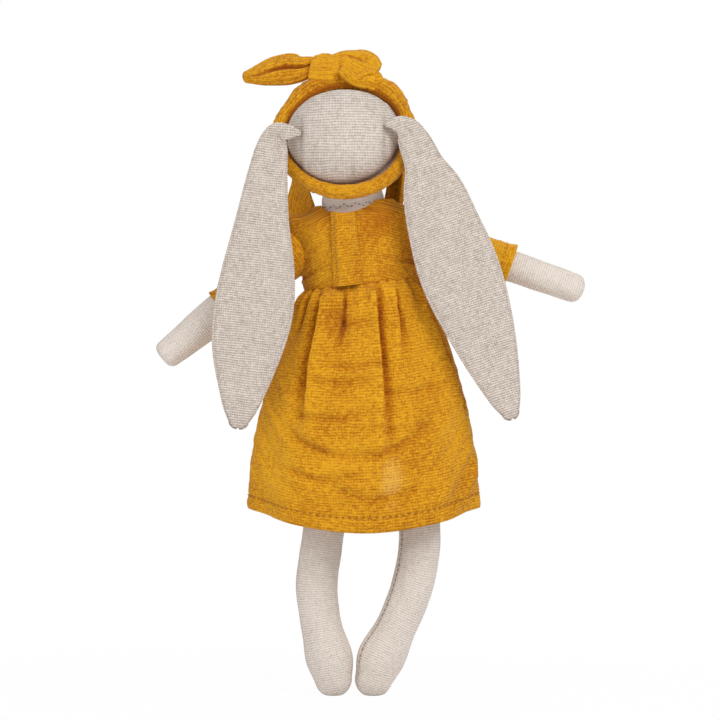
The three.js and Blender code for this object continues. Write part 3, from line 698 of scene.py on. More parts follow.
FINISHES = {
    "linen": linen_finish,
    "muslin": muslin_finish,
    "wadding": wadding_finish,
    "elastic": elastic_finish,
    "snap": snap_finish,
    "embroidery": lambda: thread_finish("embroidery thread", tuple(cloth_settings().thread_colour)),
    "sewing": lambda: thread_finish("sewing thread", tuple(cloth_settings().sewing_colour)),
    "pale sewing": lambda: thread_finish("pale sewing thread", srgb(158, 138, 122)),
    "dress sewing": lambda: thread_finish("dress sewing thread", srgb(190, 122, 20)),
    "neck sewing": lambda: thread_finish("neck sewing thread", srgb(128, 92, 76)),
}


@functools.lru_cache(maxsize=None)
def material(key):
    return FINISHES[key]()


# Stuffed forms

DOME_ROWS = 8
PUCKER_PITCH = 2.7               # a seam puckers the skin at each stitch


def stuffed(name, stations, at, domes, columns, rows, inset=0.0, seams=(), square=2.0, lump=0.3,
            seed=0.0, floor=None, grain="across", shape=None, pale=0.0):
    """A swelling form along a curve, closed by a dome at each end and drawn in along its seams."""
    length = knots_of(stations)[-1]
    total = rows + 2 * DOME_ROWS
    depth = seam_depth()
    mean = sum(station[2] for station in stations) / len(stations)

    def dome(turn):
        """How far out and how wide a dome is at a turn from its rim to its tip."""
        return math.sin(turn) ** (2 / square), max(0, math.cos(turn)) ** (2 / square)

    def row_at(v):
        """Run along the curve, how far beyond its end, and the share of full size."""
        row = v * total
        if row < DOME_ROWS:
            out, scale = dome((1 - row / DOME_ROWS) * math.pi / 2)
            return 0.0, -(domes[0] - inset) * out, scale
        if row > DOME_ROWS + rows:
            out, scale = dome(min(1, (row - DOME_ROWS - rows) / DOME_ROWS) * math.pi / 2)
            return length, (domes[1] - inset) * out, scale
        return (row - DOME_ROWS) / rows * length, 0.0, 1.0

    def place(u, v):
        run, beyond, scale = row_at(round(v, 6))
        run = round(run, 4)
        if scale < 1e-3:
            scale = 0.0
        x, z, half_width, half_depth = station_at(stations, run)
        along = direction_at(stations, run)
        across = FORWARD.cross(along)
        angle = math.pi / 2 + 2 * math.pi * u
        nearness = 0.0
        for seam in seams:
            reach = turn_between(angle, seam(run / length)) * half_width
            nearness = max(nearness, hump(reach, 0, 1.0) * min(1, scale * 1.5))
        outward = across * math.cos(angle) + FORWARD * math.sin(angle)
        push = lump * ripple(3 * math.cos(angle) + seed, (run + beyond) / 11, 3 * math.sin(angle) - seed)
        push -= nearness * depth
        pucker = 0.16 * nearness ** 0.3 * math.sin(run * 2 * math.pi / PUCKER_PITCH) if nearness > 0.02 else 0
        carved = 0.0
        if shape:
            carved = shape(angle, run / length)
            push += carved
        point = Vector((x, 0, z)) + along * beyond
        point += across * ((half_width - inset) * scale * math.cos(angle))
        point += FORWARD * ((half_depth - inset) * scale * math.sin(angle))
        point += outward * ((push + pucker) * scale)
        point = at @ point
        if floor is not None:
            point.z = max(point.z, floor)
        spot = (2 * math.pi * u * mean, run + beyond)
        if grain == "along":
            spot = (spot[1], spot[0])
        # carved hollows also darken the cloth: painted shade
        return point, spot, nearness + 0.9 * min(0, carved)

    return cloth_grid(name, columns, total, place, pale=pale)


def skin_and_filling(body, stations, at, domes, columns, rows, tightness, cap, floor=None, **form):
    """The linen skin of a body, swollen by its filling, and the wadding inside it."""
    skin = stuffed(f"{body}_cloth", stations, at, domes, columns, rows, inset=SKIN_INSET, floor=floor, **form)
    swell(skin, cap)
    soften(dress(skin, material("linen"), "linen", body, f"{body}_skin"))
    wall = LINEN + GAP
    inner_floor = None if floor is None else floor + wall
    wadding = stuffed(f"{body}_wadding", stations, at, domes, 20, 20, inset=wall + seam_depth(), lump=0,
                      floor=inner_floor)
    dress(wadding, material("wadding"), "wadding", body, f"{body}_stuffing")


class BUNNY_OT_torso(bpy.types.Operator):
    """Sew the torso skin with its neck and fill it"""
    bl_idname = "bunny.torso"
    bl_label = "Torso"

    def execute(self, context):
        domes = (2.5, NECK_HALF_DEPTH)
        seams = (lambda share: 0.0, lambda share: math.pi)
        # pale=0.3 is painted light on the torso's linen, which lies in shade below the head
        skin_and_filling("torso", TORSO_STATIONS, TORSO, domes, 72, 70, 0.75, 0.3, seams=seams, pale=0.3)
        return {"FINISHED"}


# Head

def head_profile(share, inset):
    """Distance from the snout's axis and place along it, from the back of the head to the nose."""
    if share <= BACK_SHARE:
        turn = share / BACK_SHARE * math.pi / 2
        return (HEAD_RADIUS - inset) * math.sin(turn), -(HEAD_BACK - inset) * math.cos(turn)
    if share <= SEAT_SHARE:
        return HEAD_RADIUS - inset, (share - BACK_SHARE) / (SEAT_SHARE - BACK_SHARE) * BAND_SEAT
    t = (share - SEAT_SHARE) / (1 - SEAT_SHARE)
    tip = SNOUT_LENGTH - inset
    pulls = (
        (HEAD_RADIUS - inset, BAND_SEAT),
        (CHEEK_PULL - inset, BAND_SEAT + 14),
        (SNOUT_PULL - inset / 2, tip),
        (0, tip),
    )
    weights = ((1 - t) ** 3, 3 * t * (1 - t) ** 2, 3 * t * t * (1 - t), t ** 3)
    radius = sum(weight * pull[0] for weight, pull in zip(weights, pulls))
    return radius, sum(weight * pull[1] for weight, pull in zip(weights, pulls))


def flattening(along, angle):
    """How much lower than round the head is: over the face, and more under the chin and behind the crown."""
    forward = ease(BAND_HALF_WIDTH, BAND_HALF_WIDTH + 12, along)
    if math.sin(angle) < 0:
        return 1 - CHIN_FLATTENING * ease(0, BAND_HALF_WIDTH + 8, along)
    return 1 - FACE_FLATTENING * forward - CROWN_FLATTENING * ease(0, 8, -along)


def head_point(share, angle, out=0.0):
    radius, along = head_profile(share, -out)
    return Vector((radius * math.cos(angle), along, radius * math.sin(angle) * flattening(along, angle)))


def clear_of_neck(point, clearance):
    """Moves a point of the head out of the round top of the neck."""
    local = TORSO_AT_NECK.inverted() @ point
    reach = Vector((NECK_HALF_WIDTH + clearance, NECK_HALF_DEPTH + clearance, NECK_HALF_DEPTH + clearance))
    scaled = Vector((local.x / reach.x, local.y / reach.y, local.z / reach.z))
    if scaled.length >= 1 or scaled.length == 0:
        return point
    scaled.normalize()
    return TORSO_AT_NECK @ Vector((scaled.x * reach.x, scaled.y * reach.y, scaled.z * reach.z))


def head_cloth(name, columns, rows, inset, lump):
    """The head's skin, or its filling at an inset, clear of the neck."""
    depth = seam_depth()

    def place(u, v):
        angle = -math.pi / 2 + 2 * math.pi * u
        point = head_point(v, angle, -inset)
        behind = point.y < 0.5
        round_turn = math.atan2(point.x, -point.y if behind else point.y)
        rise = math.atan2(point.z, math.hypot(point.x, point.y))
        level = HEAD.to_3x3() @ point
        if behind:
            dart = hump(level.x, PANEL_DART, 0.8) * ease(13, 17, -level.z)
            below_crown = 1 - ease(*PANEL_TOP_FADE, level.z)
            nearness = max(dart, *(hump(level.x, edge, 0.8) * below_crown for edge in PANEL_EDGES))
        else:
            nearness = hump(point.x, 0, 0.9) * ease(4, 10, point.y)
        push = lump * ripple(point.x / 10, point.z / 10, point.y / 10) - nearness * depth
        outward = point.normalized() if point.length > 0 else FORWARD
        if behind:
            sideways = HEAD_RADIUS * math.asin(max(-1, min(1, level.x / (HEAD_RADIUS + 1))))
        else:
            sideways = HEAD_RADIUS * round_turn * math.cos(rise)
        spot = Vector((sideways, level.z)) / HEAD_STRETCH
        placed = clear_of_neck(HEAD @ (point + outward * push), GAP + inset)
        # painted shadow on the linen beside the band, carried in the seam value
        painted_band_shadow = BAND_SHADE * hump(point.y, 0.4, 2.0)
        return placed, spot, max(1.2 * nearness, painted_band_shadow)

    # pale=-0.04 is a little painted shade over the whole head
    return cloth_grid(name, columns, rows, place, pale=-0.04)


class BUNNY_OT_head(bpy.types.Operator):
    """Sew the head skin and fill it"""
    bl_idname = "bunny.head"
    bl_label = "Head"

    def execute(self, context):
        skin = head_cloth("head_cloth", 96, 84, SKIN_INSET, 0.35)
        swell(skin, cap=0.4)
        soften(dress(skin, material("linen"), "linen", "head", "head_skin"))
        inside = LINEN + GAP + seam_depth()
        wadding = head_cloth("head_wadding", 28, 28, inside, 0)
        dress(wadding, material("wadding"), "wadding", "head", "head_stuffing")
        return {"FINISHED"}


# Ears

EAR_TONGUE_HALF_DEPTH = 1.6
# The tongue by which each ear is sewn on: out from the ear's hinge, height and half width
EAR_TONGUES = {
    "left": (
        (-6.4, 0.3, 1.4), (-3.6, 0.4, 2.8), (0, 0.3, 4.1),
        (3.3, -0.8, 5.6), (5.0, -4.6, 6.8), (5.6, -9.6, 7.9),
    ),
    "right": (
        (-5.0, 3.6, 1.4), (-2.5, 3.0, 2.8), (0.6, 1.6, 4.4),
        (3.2, -1.8, 6.2), (4.2, -6.5, 7.5), (4.7, -11, 8.2),
    ),
}


def ear_stations(side, sign):
    """The ear's middle line: a tongue sewn to the head, from which the cloth turns down and widens."""
    fullest, step_out, tip = EAR_FULLEST[side], EAR_STEP_OUT[side], EAR_TIP_FULLNESS[side]
    rows = [(sign * x, z, width, EAR_TONGUE_HALF_DEPTH) for x, z, width in EAR_TONGUES[side]]
    # Each row down the ear: share of its length, share of its half width, share of its step out
    shares = (
        (0.13, 0.49, 1), (fullest - 0.26, 0.68, 1), (fullest - 0.1, 0.91, 0.85), (fullest + 0.03, 1, 0.85),
        (0.72, 0.85 * tip, 1), (0.86, 0.58 * tip, 1), (0.94, 0.37 * tip, 1), (0.975, 0.22 * tip, 1),
    )
    for share, width, step in shares:
        depth = EAR_HALF_DEPTH * min(1, 0.55 + 0.45 * width)
        rows.append((sign * step_out * step, -share * EAR_LENGTH[side], width * EAR_HALF_WIDTH[side], depth))
    return tuple(rows)


EAR_EDGE_SEAM = 0.93             # place of the seam inside the ear's edge, as a share of the half width
EAR_EDGE_RIDGE = 0.35
EAR_TUCK = 1.2                   # the crease down from the tongue
EAR_CURL = 2.6                   # how far the top of the ear comes back from the head
EAR_ROWS = 150
EAR_ROOT_ROWS = 4
EAR_TIP_ROWS = 9


def ear_layer(name, side, sign, facing):
    """One layer of an ear: facing is -1 for the outer cloth and 1 for the lining."""
    stations = ear_stations(side, sign)
    length = knots_of(stations)[-1]
    at = ear_frame(side, sign)
    root_dome, tip_dome = 1.2, 3.0

    def row_at(v):
        """Run along the middle line, how far beyond its end, and the share of full width."""
        row = v * EAR_ROWS
        if row < EAR_ROOT_ROWS:
            turn = (1 - row / EAR_ROOT_ROWS) * math.pi / 2
            return 0.0, -root_dome * math.sin(turn), math.cos(turn)
        if row > EAR_ROWS - EAR_TIP_ROWS:
            turn = (row - EAR_ROWS + EAR_TIP_ROWS) / EAR_TIP_ROWS * math.pi / 2
            return length, tip_dome * math.sin(turn), max(0.0, math.cos(turn))
        return (row - EAR_ROOT_ROWS) / (EAR_ROWS - EAR_ROOT_ROWS - EAR_TIP_ROWS) * length, 0.0, 1.0

    def place(u, v):
        run, beyond, scale = row_at(round(v, 6))
        run = round(run, 4)
        scale = scale if scale > 1e-3 else 0.0
        x, z, half_width, half_depth = station_at(stations, run)
        along = direction_at(stations, run)
        across = FORWARD.cross(along)
        turn = (u - 0.5) * math.pi
        aside = math.sin(turn)
        puff = math.cos(turn) ** 0.75 * scale if abs(turn) < 1.57 else 0.0
        tuck = EAR_TUCK * hump(aside, 0.1 * sign, 0.22) * ease(4, 12, run) * (1 - ease(14, 44, run))
        edge, groove = hump(abs(aside), EAR_EDGE_SEAM + 0.06, 0.04), hump(abs(aside), EAR_EDGE_SEAM, 0.03)
        ridge = EAR_EDGE_RIDGE * (edge - groove)
        wave = 0.35 * ripple(run / 20, aside * 1.3, 3 * sign + facing) * puff
        wave += 0.18 * ripple(run / 6, aside * 4, 5 * sign + facing) * puff
        depth = GAP / 2 + half_depth * puff + wave + ridge * scale * ease(8, 20, run) - tuck * puff
        curl = EAR_CURL * (1 - ease(2, 16, run))
        flat = Vector((x, 0, z)) + along * beyond + across * (half_width * scale * aside)
        point = flat + FORWARD * (facing * depth - curl)
        nearness = hump(abs(aside), EAR_EDGE_SEAM, 0.02) * 0.8 * ease(8, 20, run)
        return at @ point, (flat.x, -flat.z), nearness

    # pale=-0.1 is painted shade on both layers of the ears
    return cloth_grid(name, 40, EAR_ROWS, place, inside=at @ Vector((0, -facing * 20, -70)), pale=-0.1)


class BUNNY_OT_ears(bpy.types.Operator):
    """Sew both ears from an outer cloth and a lining"""
    bl_idname = "bunny.ears"
    bl_label = "Ears"

    def execute(self, context):
        for side, sign in SIDES:
            for layer, facing in (("outer", -1), ("lining", 1)):
                piece = ear_layer(f"ear_{side}_{layer}_cloth", side, sign, facing)
                sheet_of(piece, "linen", f"ear_{side}", f"ear_{side}_{layer}", EAR_SHEET,
                         flat=(0.042, 0.152), held="hung", area=0.0043)
        return {"FINISHED"}


# Arms and legs

def arm_stations(side):
    wrist = ARM_RADIUS + WRIST_FULLNESS[side]
    return (
        (0, 0, SHOULDER_RADIUS, SHOULDER_RADIUS),
        (0, -UPPER_ARM, UPPER_ARM_RADIUS, UPPER_ARM_RADIUS),
        (0, -SLEEVE_LENGTH[side], wrist, wrist),
        (0, -ARM_LENGTH[side], ARM_RADIUS * 0.97, ARM_RADIUS * 0.97),
    )


ARM_DOMES = (SHOULDER_RADIUS, 6)


class BUNNY_OT_arms(bpy.types.Operator):
    """Sew both arms and fill them"""
    bl_idname = "bunny.arms"
    bl_label = "Arms"

    def execute(self, context):
        for side, sign in SIDES:
            at = arm_frame(side, sign)
            stations = arm_stations(side)
            seams = (lambda share: 0.12, lambda share: math.pi + 0.1)
            # pale=0.2 is painted light on the arms' linen
            skin_and_filling(f"arm_{side}", stations, at, ARM_DOMES, 48, 60, 0.7, 0.4, seams=seams,
                             square=HAND_SQUARENESS[side], seed=2 * sign, pale=0.2)
        return {"FINISHED"}


def leg_stations(side):
    thigh, knee, shin, foot, toe = LEG_BENDS[side]
    length = joint_point(f"leg_{side}_swing").z + SOLE_CUT
    return (
        (0, 0, LEG_RADIUS - 1, LEG_TOP_HALF_DEPTH),
        (thigh * 0.4, -length * 0.16, LEG_RADIUS - 0.3, LEG_RADIUS * 0.75),
        (thigh, -length * 0.45, LEG_RADIUS, LEG_RADIUS),
        (knee, -length * 0.62, LEG_RADIUS, LEG_RADIUS),
        (shin, -length * 0.77, LEG_RADIUS, LEG_RADIUS),
        (foot, -length * 0.865, LEG_RADIUS * FOOT_SPREAD, LEG_RADIUS * FOOT_SPREAD),
        (toe, -length + FOOT_DOME, LEG_RADIUS * 0.9, LEG_RADIUS),
    )


LEG_DOMES = (LEG_TOP_HALF_DEPTH, FOOT_DOME)


def leg_seam(side):
    """Angle of the seam along the inside of a leg; the right one lies a little to the back."""
    return -0.45 if side == "right" else math.pi - 0.2


class BUNNY_OT_legs(bpy.types.Operator):
    """Sew both legs and fill them"""
    bl_idname = "bunny.legs"
    bl_label = "Legs"

    def execute(self, context):
        for side, sign in SIDES:
            at = leg_frame(side)
            inner_seam = leg_seam(side)
            seams = (lambda share: inner_seam, lambda share: inner_seam + math.pi)
            stations = leg_stations(side)
            # pale=0.15 is painted light on the legs, which lie in the skirt's shade
            skin_and_filling(f"leg_{side}", stations, at, LEG_DOMES, 56, 96, 0.75, 0.4, seams=seams,
                             seed=5 * sign, floor=0.0, lump=0.4, pale=0.15)
        return {"FINISHED"}


# Bodice

def torso_size(height):
    """Half width and half depth of the torso at a height over the waist."""
    run = knots_of(TORSO_STATIONS)[1] + height - BELLY_HEIGHT
    _, _, half_width, half_depth = station_at(TORSO_STATIONS, round(run, 4))
    return half_width, half_depth


def bodice_size(height):
    """Half width and half depth inside the bodice, whose cloth spreads over the shoulders to the sleeves."""
    half_width, half_depth = torso_size(height)
    spread = SHOULDER_SPREAD * hump(height, SHOULDER_HEIGHT - 1, 9) + WAIST_EASE * hump(height, 0, 9)
    return half_width + spread, half_depth


def on_torso(angle, height, layer):
    """A point of a layer over the bodice; angle 0 is the right side and half a turn the left."""
    half_width, half_depth = bodice_size(height)
    return Vector(((half_width + layer) * math.cos(angle), (half_depth + layer) * math.sin(angle), height))


def shoulder_point(side):
    return TORSO.inverted() @ joint_point(f"arm_{side}_swing")


@functools.lru_cache(maxsize=None)
def armhole_angle(side, sign, facing, height):
    """Angle from the side at which a panel's cloth begins, at the armhole or at the side seam."""
    centre = shoulder_point(side)
    for step in range(140):
        angle = step * math.pi / 280
        spot = on_torso(angle, height, GAP + MUSLIN)
        spot.x *= sign
        spot.y *= facing
        if (spot - centre).length >= ARMHOLE_RADIUS:
            return angle
    return math.pi / 2


def neckline_inset(height, sign):
    """How far the edge of the neck opening lies from the middle on one side, at a height."""
    drop = max(0.0, NECKLINE_CENTRE - height) / NECKLINE_RISE
    return NECKLINE_HALF_WIDTH * math.sqrt(max(0.0, 1 - drop * drop)) + NECKLINE_SHIFT * drop * sign


PANEL_TOP = NECKLINE + 2
SHOULDER_LIFT = {"left": 4.6, "right": 0.6}      # the cloth stands off the slope of the shoulder
SHOULDER_SPREAD = 5.5
CREASE_LIMIT = 0.8               # the cloth stays off the skin under it
ROW_DIP = 0.011                  # the rows of the cloth dip towards the sides
CREASES = {
    # side, facing: across and height of each crease's ends, depth
    ("right", -1): ((27, 10, 12, 13, 2.2), (22, 26, 12, 23, 0.6), (20, 4, 8, 8, 0.6)),
    ("left", -1): ((27, 8, 15, 12, 1.4), (24, 19, 15, 25, 0.6), (20, 3, 12, 7, 0.8)),
    ("right", 1): ((25, 12, 12, 15, 0.8),),
    ("left", 1): ((25, 11, 13, 15, 0.8),),
}


# Painted light and shade on the back of the dress, each place darker, below 0, or paler: across, up from the
# waist, half sizes, strength
BACK_PAINTED_SHADING = (
    (8, 31, 9, 6, -0.2), (13, 27, 6, 5, -0.1), (21, 32, 6, 6, 0.2), (20, 4, 6, 6, 0.2),
    (-13, 35, 5, 5, -0.25), (-13, 18, 5, 12, -0.1), (-22, 24, 6, 8, 0.2),
    (-13, -17, 6, 9, -0.35), (0, -17, 9, 8, -0.16), (-38, -72, 13, 18, 0.22), (26, -70, 10, 14, -0.2),
)


def painted_back_shading(point):
    """Painted light and shade on the muslin of the back of the dress at a point."""
    spot = point - WAIST.translation
    if spot.y > 0:
        return 0.0
    return sum(
        strength * hump(spot.x, x, reach_x) * hump(spot.z, z, reach_z)
        for x, z, reach_x, reach_z, strength in BACK_PAINTED_SHADING
    )


def crease_depth(x, height, creases):
    """How deep the straight creases of a panel lie at a point."""
    depth = 0.0
    for x1, z1, x2, z2, deep in creases:
        run = Vector((x2 - x1, z2 - z1))
        share = min(1, max(0, (Vector((x - x1, height - z1)).dot(run)) / run.length_squared))
        apart = (Vector((x - x1, height - z1)) - run * share).length
        depth += deep * (hump(apart, 0, 0.8) - 0.7 * hump(apart, 2.1, 1.1)) * (1 - 0.8 * share)
    return min(depth, CREASE_LIMIT)


def bodice_panel(name, side, sign, facing, inner):
    """A panel from the middle edge to the side seam, armhole and shoulder; facing is -1 at the back."""
    crinkle = crinkle_height()
    layer = GAP + MUSLIN

    def place(u, v):
        height = round(mix(WAIST_SEAM, PANEL_TOP, v), 4)
        half_width = bodice_size(height)[0] + layer
        inner_x = inner * sign
        if height > NECKLINE_CENTRE - NECKLINE_RISE:
            inner_x = max(inner_x, neckline_inset(height, sign))
        start = math.acos(max(-1, min(1, inner_x / half_width)))
        end = min(start, armhole_angle(side, sign, facing, height))
        angle = mix(start, end, u)
        spot = on_torso(angle, height, layer)
        wide = 0.6 * ripple(spot.x / 5, height / 3.2, facing + sign)
        narrow = 0.4 * ripple(spot.x / 2, height / 9, 4)
        wave = crinkle * (wide + narrow)
        wave -= crease_depth(spot.x, height, CREASES[side, facing])
        wave *= ease(0, 0.05, v) * ease(0, 0.06, 1 - v) * ease(0, 0.06, u) * ease(0, 0.06, 1 - u)
        rim = 0.35 * (hump(u, 0.97, 0.02) + hump(v, 0.985, 0.012))
        tuck = 0.7 * hump(v, 0, 0.025)
        on_shoulder = ease(SHOULDER_HEIGHT - 9, SHOULDER_HEIGHT, height)
        lift = SHOULDER_LIFT[side] * on_shoulder * hump(spot.x, 32, 5.5)
        spot += Vector((math.cos(angle), math.sin(angle), 0)) * (wave + rim - tuck) + UP * lift
        seam = 0.2 * hump(u, 0.93, 0.015)
        flat = (half_width * angle * sign * -facing, height + ROW_DIP * spot.x ** 2)
        return TORSO @ Vector((spot.x * sign, spot.y * facing, spot.z)), flat, seam

    middle = TORSO @ Vector((0, 0, CHEST_HEIGHT))
    # pale=-0.12 is painted shade over the bodice
    return cloth_grid(name, 60, 96, place, inside=middle, pale=-0.12, painted_shading=painted_back_shading)


class BUNNY_OT_bodice(bpy.types.Operator):
    """Sew the bodice from two back panels and a front"""
    bl_idname = "bunny.bodice"
    bl_label = "Bodice"

    def execute(self, context):
        inner = {"left": FLAP_HINGE - GAP, "right": FLAP_HINGE}
        for side, sign in SIDES:
            piece = bodice_panel(f"bodice_back_{side}_cloth", side, sign, -1, inner[side])
            sheet_of(piece, "muslin", "torso", f"bodice_back_{side}", MUSLIN_SHEET,
                     flat=(0.042, 0.045), held="stretched", area=0.0015)
        halves = [bodice_panel(f"bodice_front_{side}_half", side, sign, 1, 0.0) for side, sign in SIDES]
        front = join_cloths("bodice_front_cloth", halves)
        sheet_of(front, "muslin", "torso", "bodice_front", MUSLIN_SHEET,
                 flat=(0.084, 0.045), held="stretched", area=0.003)
        return {"FINISHED"}


def join_cloths(name, pieces):
    """One cloth from several that meet edge to edge."""
    whole = bmesh.new()
    for piece in pieces:
        whole.from_mesh(piece.data)
        bpy.data.objects.remove(piece)
    bmesh.ops.remove_doubles(whole, verts=whole.verts, dist=0.02 * MM)
    return object_from(whole, name)


# Placket flap and snaps

def flap_top(x):
    across = (x - NECKLINE_SHIFT) / NECKLINE_HALF_WIDTH
    return NECKLINE_CENTRE - NECKLINE_RISE * math.sqrt(max(0, 1 - across * across))


def flap_point(across, height, out=0.0):
    """A point on the flap: across runs from its sewn edge to its free edge."""
    x = mix(FLAP_HINGE, FLAP_LEFT + FLAP_UPRIGHT * height, across)
    low, high = GAP + MUSLIN + 0.2, GAP + 2 * MUSLIN + 3.0
    swelling = ease(0, 0.36, across) * ease(0, 0.24, 1 - across)
    layer = mix(low, high, swelling) + 0.9 * ease(0.8, 1, across) + out
    half_width, half_depth = bodice_size(round(height, 4))
    depth = (half_depth + layer) * math.sqrt(1 - (x / (half_width + layer)) ** 2)
    return TORSO @ Vector((x, -depth, height))


class BUNNY_OT_placket(bpy.types.Operator):
    """Sew the placket flap and finish the snaps under it"""
    bl_idname = "bunny.placket"
    bl_label = "Placket"

    def execute(self, context):
        crinkle = crinkle_height()

        def place(u, v):
            x = mix(FLAP_HINGE, FLAP_LEFT, u)
            height = mix(WAIST_SEAM, flap_top(x), v)
            wave = crinkle * 0.5 * ripple(u * 3, height / 3, 11) * ease(0, 0.1, u) * ease(0, 0.1, 1 - u)
            wave += 0.3 * hump(u, 0.94, 0.03) - 0.25 * hump(u, FLAP_TOPSTITCH, 0.03)
            return flap_point(u, height, wave), (x, height), 0.2 * hump(u, FLAP_TOPSTITCH, 0.03)

        piece = cloth_grid("placket_cloth", 40, 96, place, inside=TORSO @ Vector((0, 0, CHEST_HEIGHT)))
        sewn = flap_point(0.06, CHEST_HEIGHT)
        fold = sewn - TORSO.to_3x3() @ Vector((FLAP_FOLD, 0, 0))
        sheet_of(piece, "muslin", None, "placket_flap", MUSLIN_SHEET,
                 bend=("torso", "placket", sewn * MM, fold * MM), flat=(0.0165, 0.04), held="folded")
        for half in ("stud", "socket"):
            for level in ("lower", "upper"):
                snap = frame["nodes"][f"snap_{half}_{level}"]
                snap.data.materials.clear()
                snap.data.materials.append(material("snap"))
        return {"FINISHED"}


# Sleeves

CAP = 6.5
CAP_PUFF = {"left": 3.6, "right": 2.2}
SLEEVE_FOLD = 0.9
SLEEVE_CREASE = -math.pi / 2 + 0.27      # the turn at which a long crease lies
# The right sleeve is paler: painted light on the side nearer the key light
SLEEVE_PAINTED_LIGHT = {"left": 0.0, "right": 0.3}
SLEEVE_BEND = (2, -14)           # from above the shoulder to below it, where the sleeve would bend with the arm; passed on but not bent here


def sleeve_stations(side):
    cap_radius = math.sqrt((SHOULDER_RADIUS + GAP) ** 2 - CAP ** 2)
    return (
        (0, CAP, cap_radius, cap_radius),
        (0, 0, SHOULDER_RADIUS + GAP, SHOULDER_RADIUS + GAP),
        (0, -UPPER_ARM, UPPER_ARM_RADIUS + 2 * GAP, UPPER_ARM_RADIUS + 2 * GAP),
        (0, -SLEEVE_LENGTH[side] / 2, ARM_RADIUS + CUFF_EASE, ARM_RADIUS + CUFF_EASE),
        (0, -SLEEVE_LENGTH[side], ARM_RADIUS + CUFF_EASE, ARM_RADIUS + CUFF_EASE),
    )


def sleeve_point(side, sign, turn, run, out=0.0):
    """A point of a sleeve and its place from the shoulder, with the soft folds of the cloth."""
    stations = sleeve_stations(side)
    length = knots_of(stations)[-1]
    _, z, radius, _ = station_at(stations, round(min(length, max(0, run)), 4))
    soft = ripple(2 * math.cos(turn), run / 7 + 2 * math.sin(turn), sign * 3)
    folds = SLEEVE_FOLD * soft * ease(4, 14, run)
    flare = 0.3 * ease(length - 8, length, run)
    upward = max(0.0, sign * math.cos(turn)) ** 2
    puff = CAP_PUFF[side] * upward * ease(-2, 6, run) * (1 - ease(9, 26, run))
    crease = SLEEVE_FOLD * hump(turn_between(turn, SLEEVE_CREASE), 0, 0.1) * ease(12, 20, run)
    reach = radius + MUSLIN + max(-0.5, folds - crease) + flare + puff + out
    return arm_frame(side, sign) @ Vector((reach * math.cos(turn), reach * math.sin(turn), z))


class BUNNY_OT_sleeves(bpy.types.Operator):
    """Sew both sleeves"""
    bl_idname = "bunny.sleeves"
    bl_label = "Sleeves"

    def execute(self, context):
        crinkle = crinkle_height()
        for side, sign in SIDES:
            length = knots_of(sleeve_stations(side))[-1]

            def place(u, v):
                turn = math.pi / 2 + 2 * math.pi * u
                run = v * length
                wave = crinkle * 0.6 * ripple(6 * math.cos(turn), run / 3, 6 * math.sin(turn) + sign)
                wave += 0.35 * hump(run, length - 0.8, 0.8) - 0.3 * hump(run, length - CUFF_HEM, 0.6)
                point = sleeve_point(side, sign, turn, run, wave)
                return point, (2 * math.pi * u * (ARM_RADIUS + CUFF_EASE), run), 0.0

            at = arm_frame(side, sign)
            middle = at @ Vector((0, 0, -SLEEVE_LENGTH[side] / 2))
            piece = cloth_grid(f"sleeve_{side}_cloth", 72, 84, place, inside=middle, pale=SLEEVE_PAINTED_LIGHT[side])
            start, end = (at @ Vector((0, 0, z)) * MM for z in SLEEVE_BEND)
            sheet_of(piece, "muslin", None, f"sleeve_{side}", MUSLIN_SHEET,
                     bend=("torso", f"arm_{side}", start, end), flat=(0.068, 0.054), held="hung")
        return {"FINISHED"}


# Skirt

# Each pleat: place across the waist, place across where it ends, share of the skirt's length, depth,
# half width, and whether its cloth laps to the left or right (0 is an even fold)
BACK_PLEATS = (
    (-16.4, -24.6, 0.45, 7.5, 4.4, -1),
    (-8.4, -12.8, 0.20, 3.6, 2.4, 1),
    (5.1, 8.7, 0.54, 5.6, 3.4, 1),
    (14.2, 17.0, 0.24, 3.6, 2.6, 1),
    (-23.5, -31.0, 0.16, 3.0, 2.0, 0),
    (25.0, 45.7, 0.54, 3.0, 3.6, 1),
)
FRONT_PLEATS = (
    (-18.0, -25.0, 0.34, 5.0, 2.6, 0),
    (-7.0, -10.0, 0.5, 3.6, 3.4, -1),
    (4.0, 6.0, 0.2, 2.8, 1.8, 0),
    (12.0, 18.0, 0.55, 3.8, 3.4, 1),
    (22.0, 30.0, 0.2, 2.2, 2.0, 0),
)
# Each wrinkle that lies across the back: fall from the waist at the middle, place across, half length, depth
WRINKLES = (
    (76.5, -3, 36, 1.1), (16.4, -3, 11, 0.7), (35.6, -2, 14, 0.7), (43.0, -8, 17, 0.7), (49.5, 22, 15, 0.7),
    (59.0, -16, 18, 0.8), (66.0, 20, 15, 0.7), (87.0, -20, 20, 0.7), (95.0, 8, 26, 0.8),
)
WAIST_GATHERS = 30
GATHER_HEIGHT = 0.8
HEM_WAVES = 9
HEM_WAVE_HEIGHT = 1.2
WRINKLE_SAG = 0.0103             # the middle of a wrinkle hangs lower than its ends


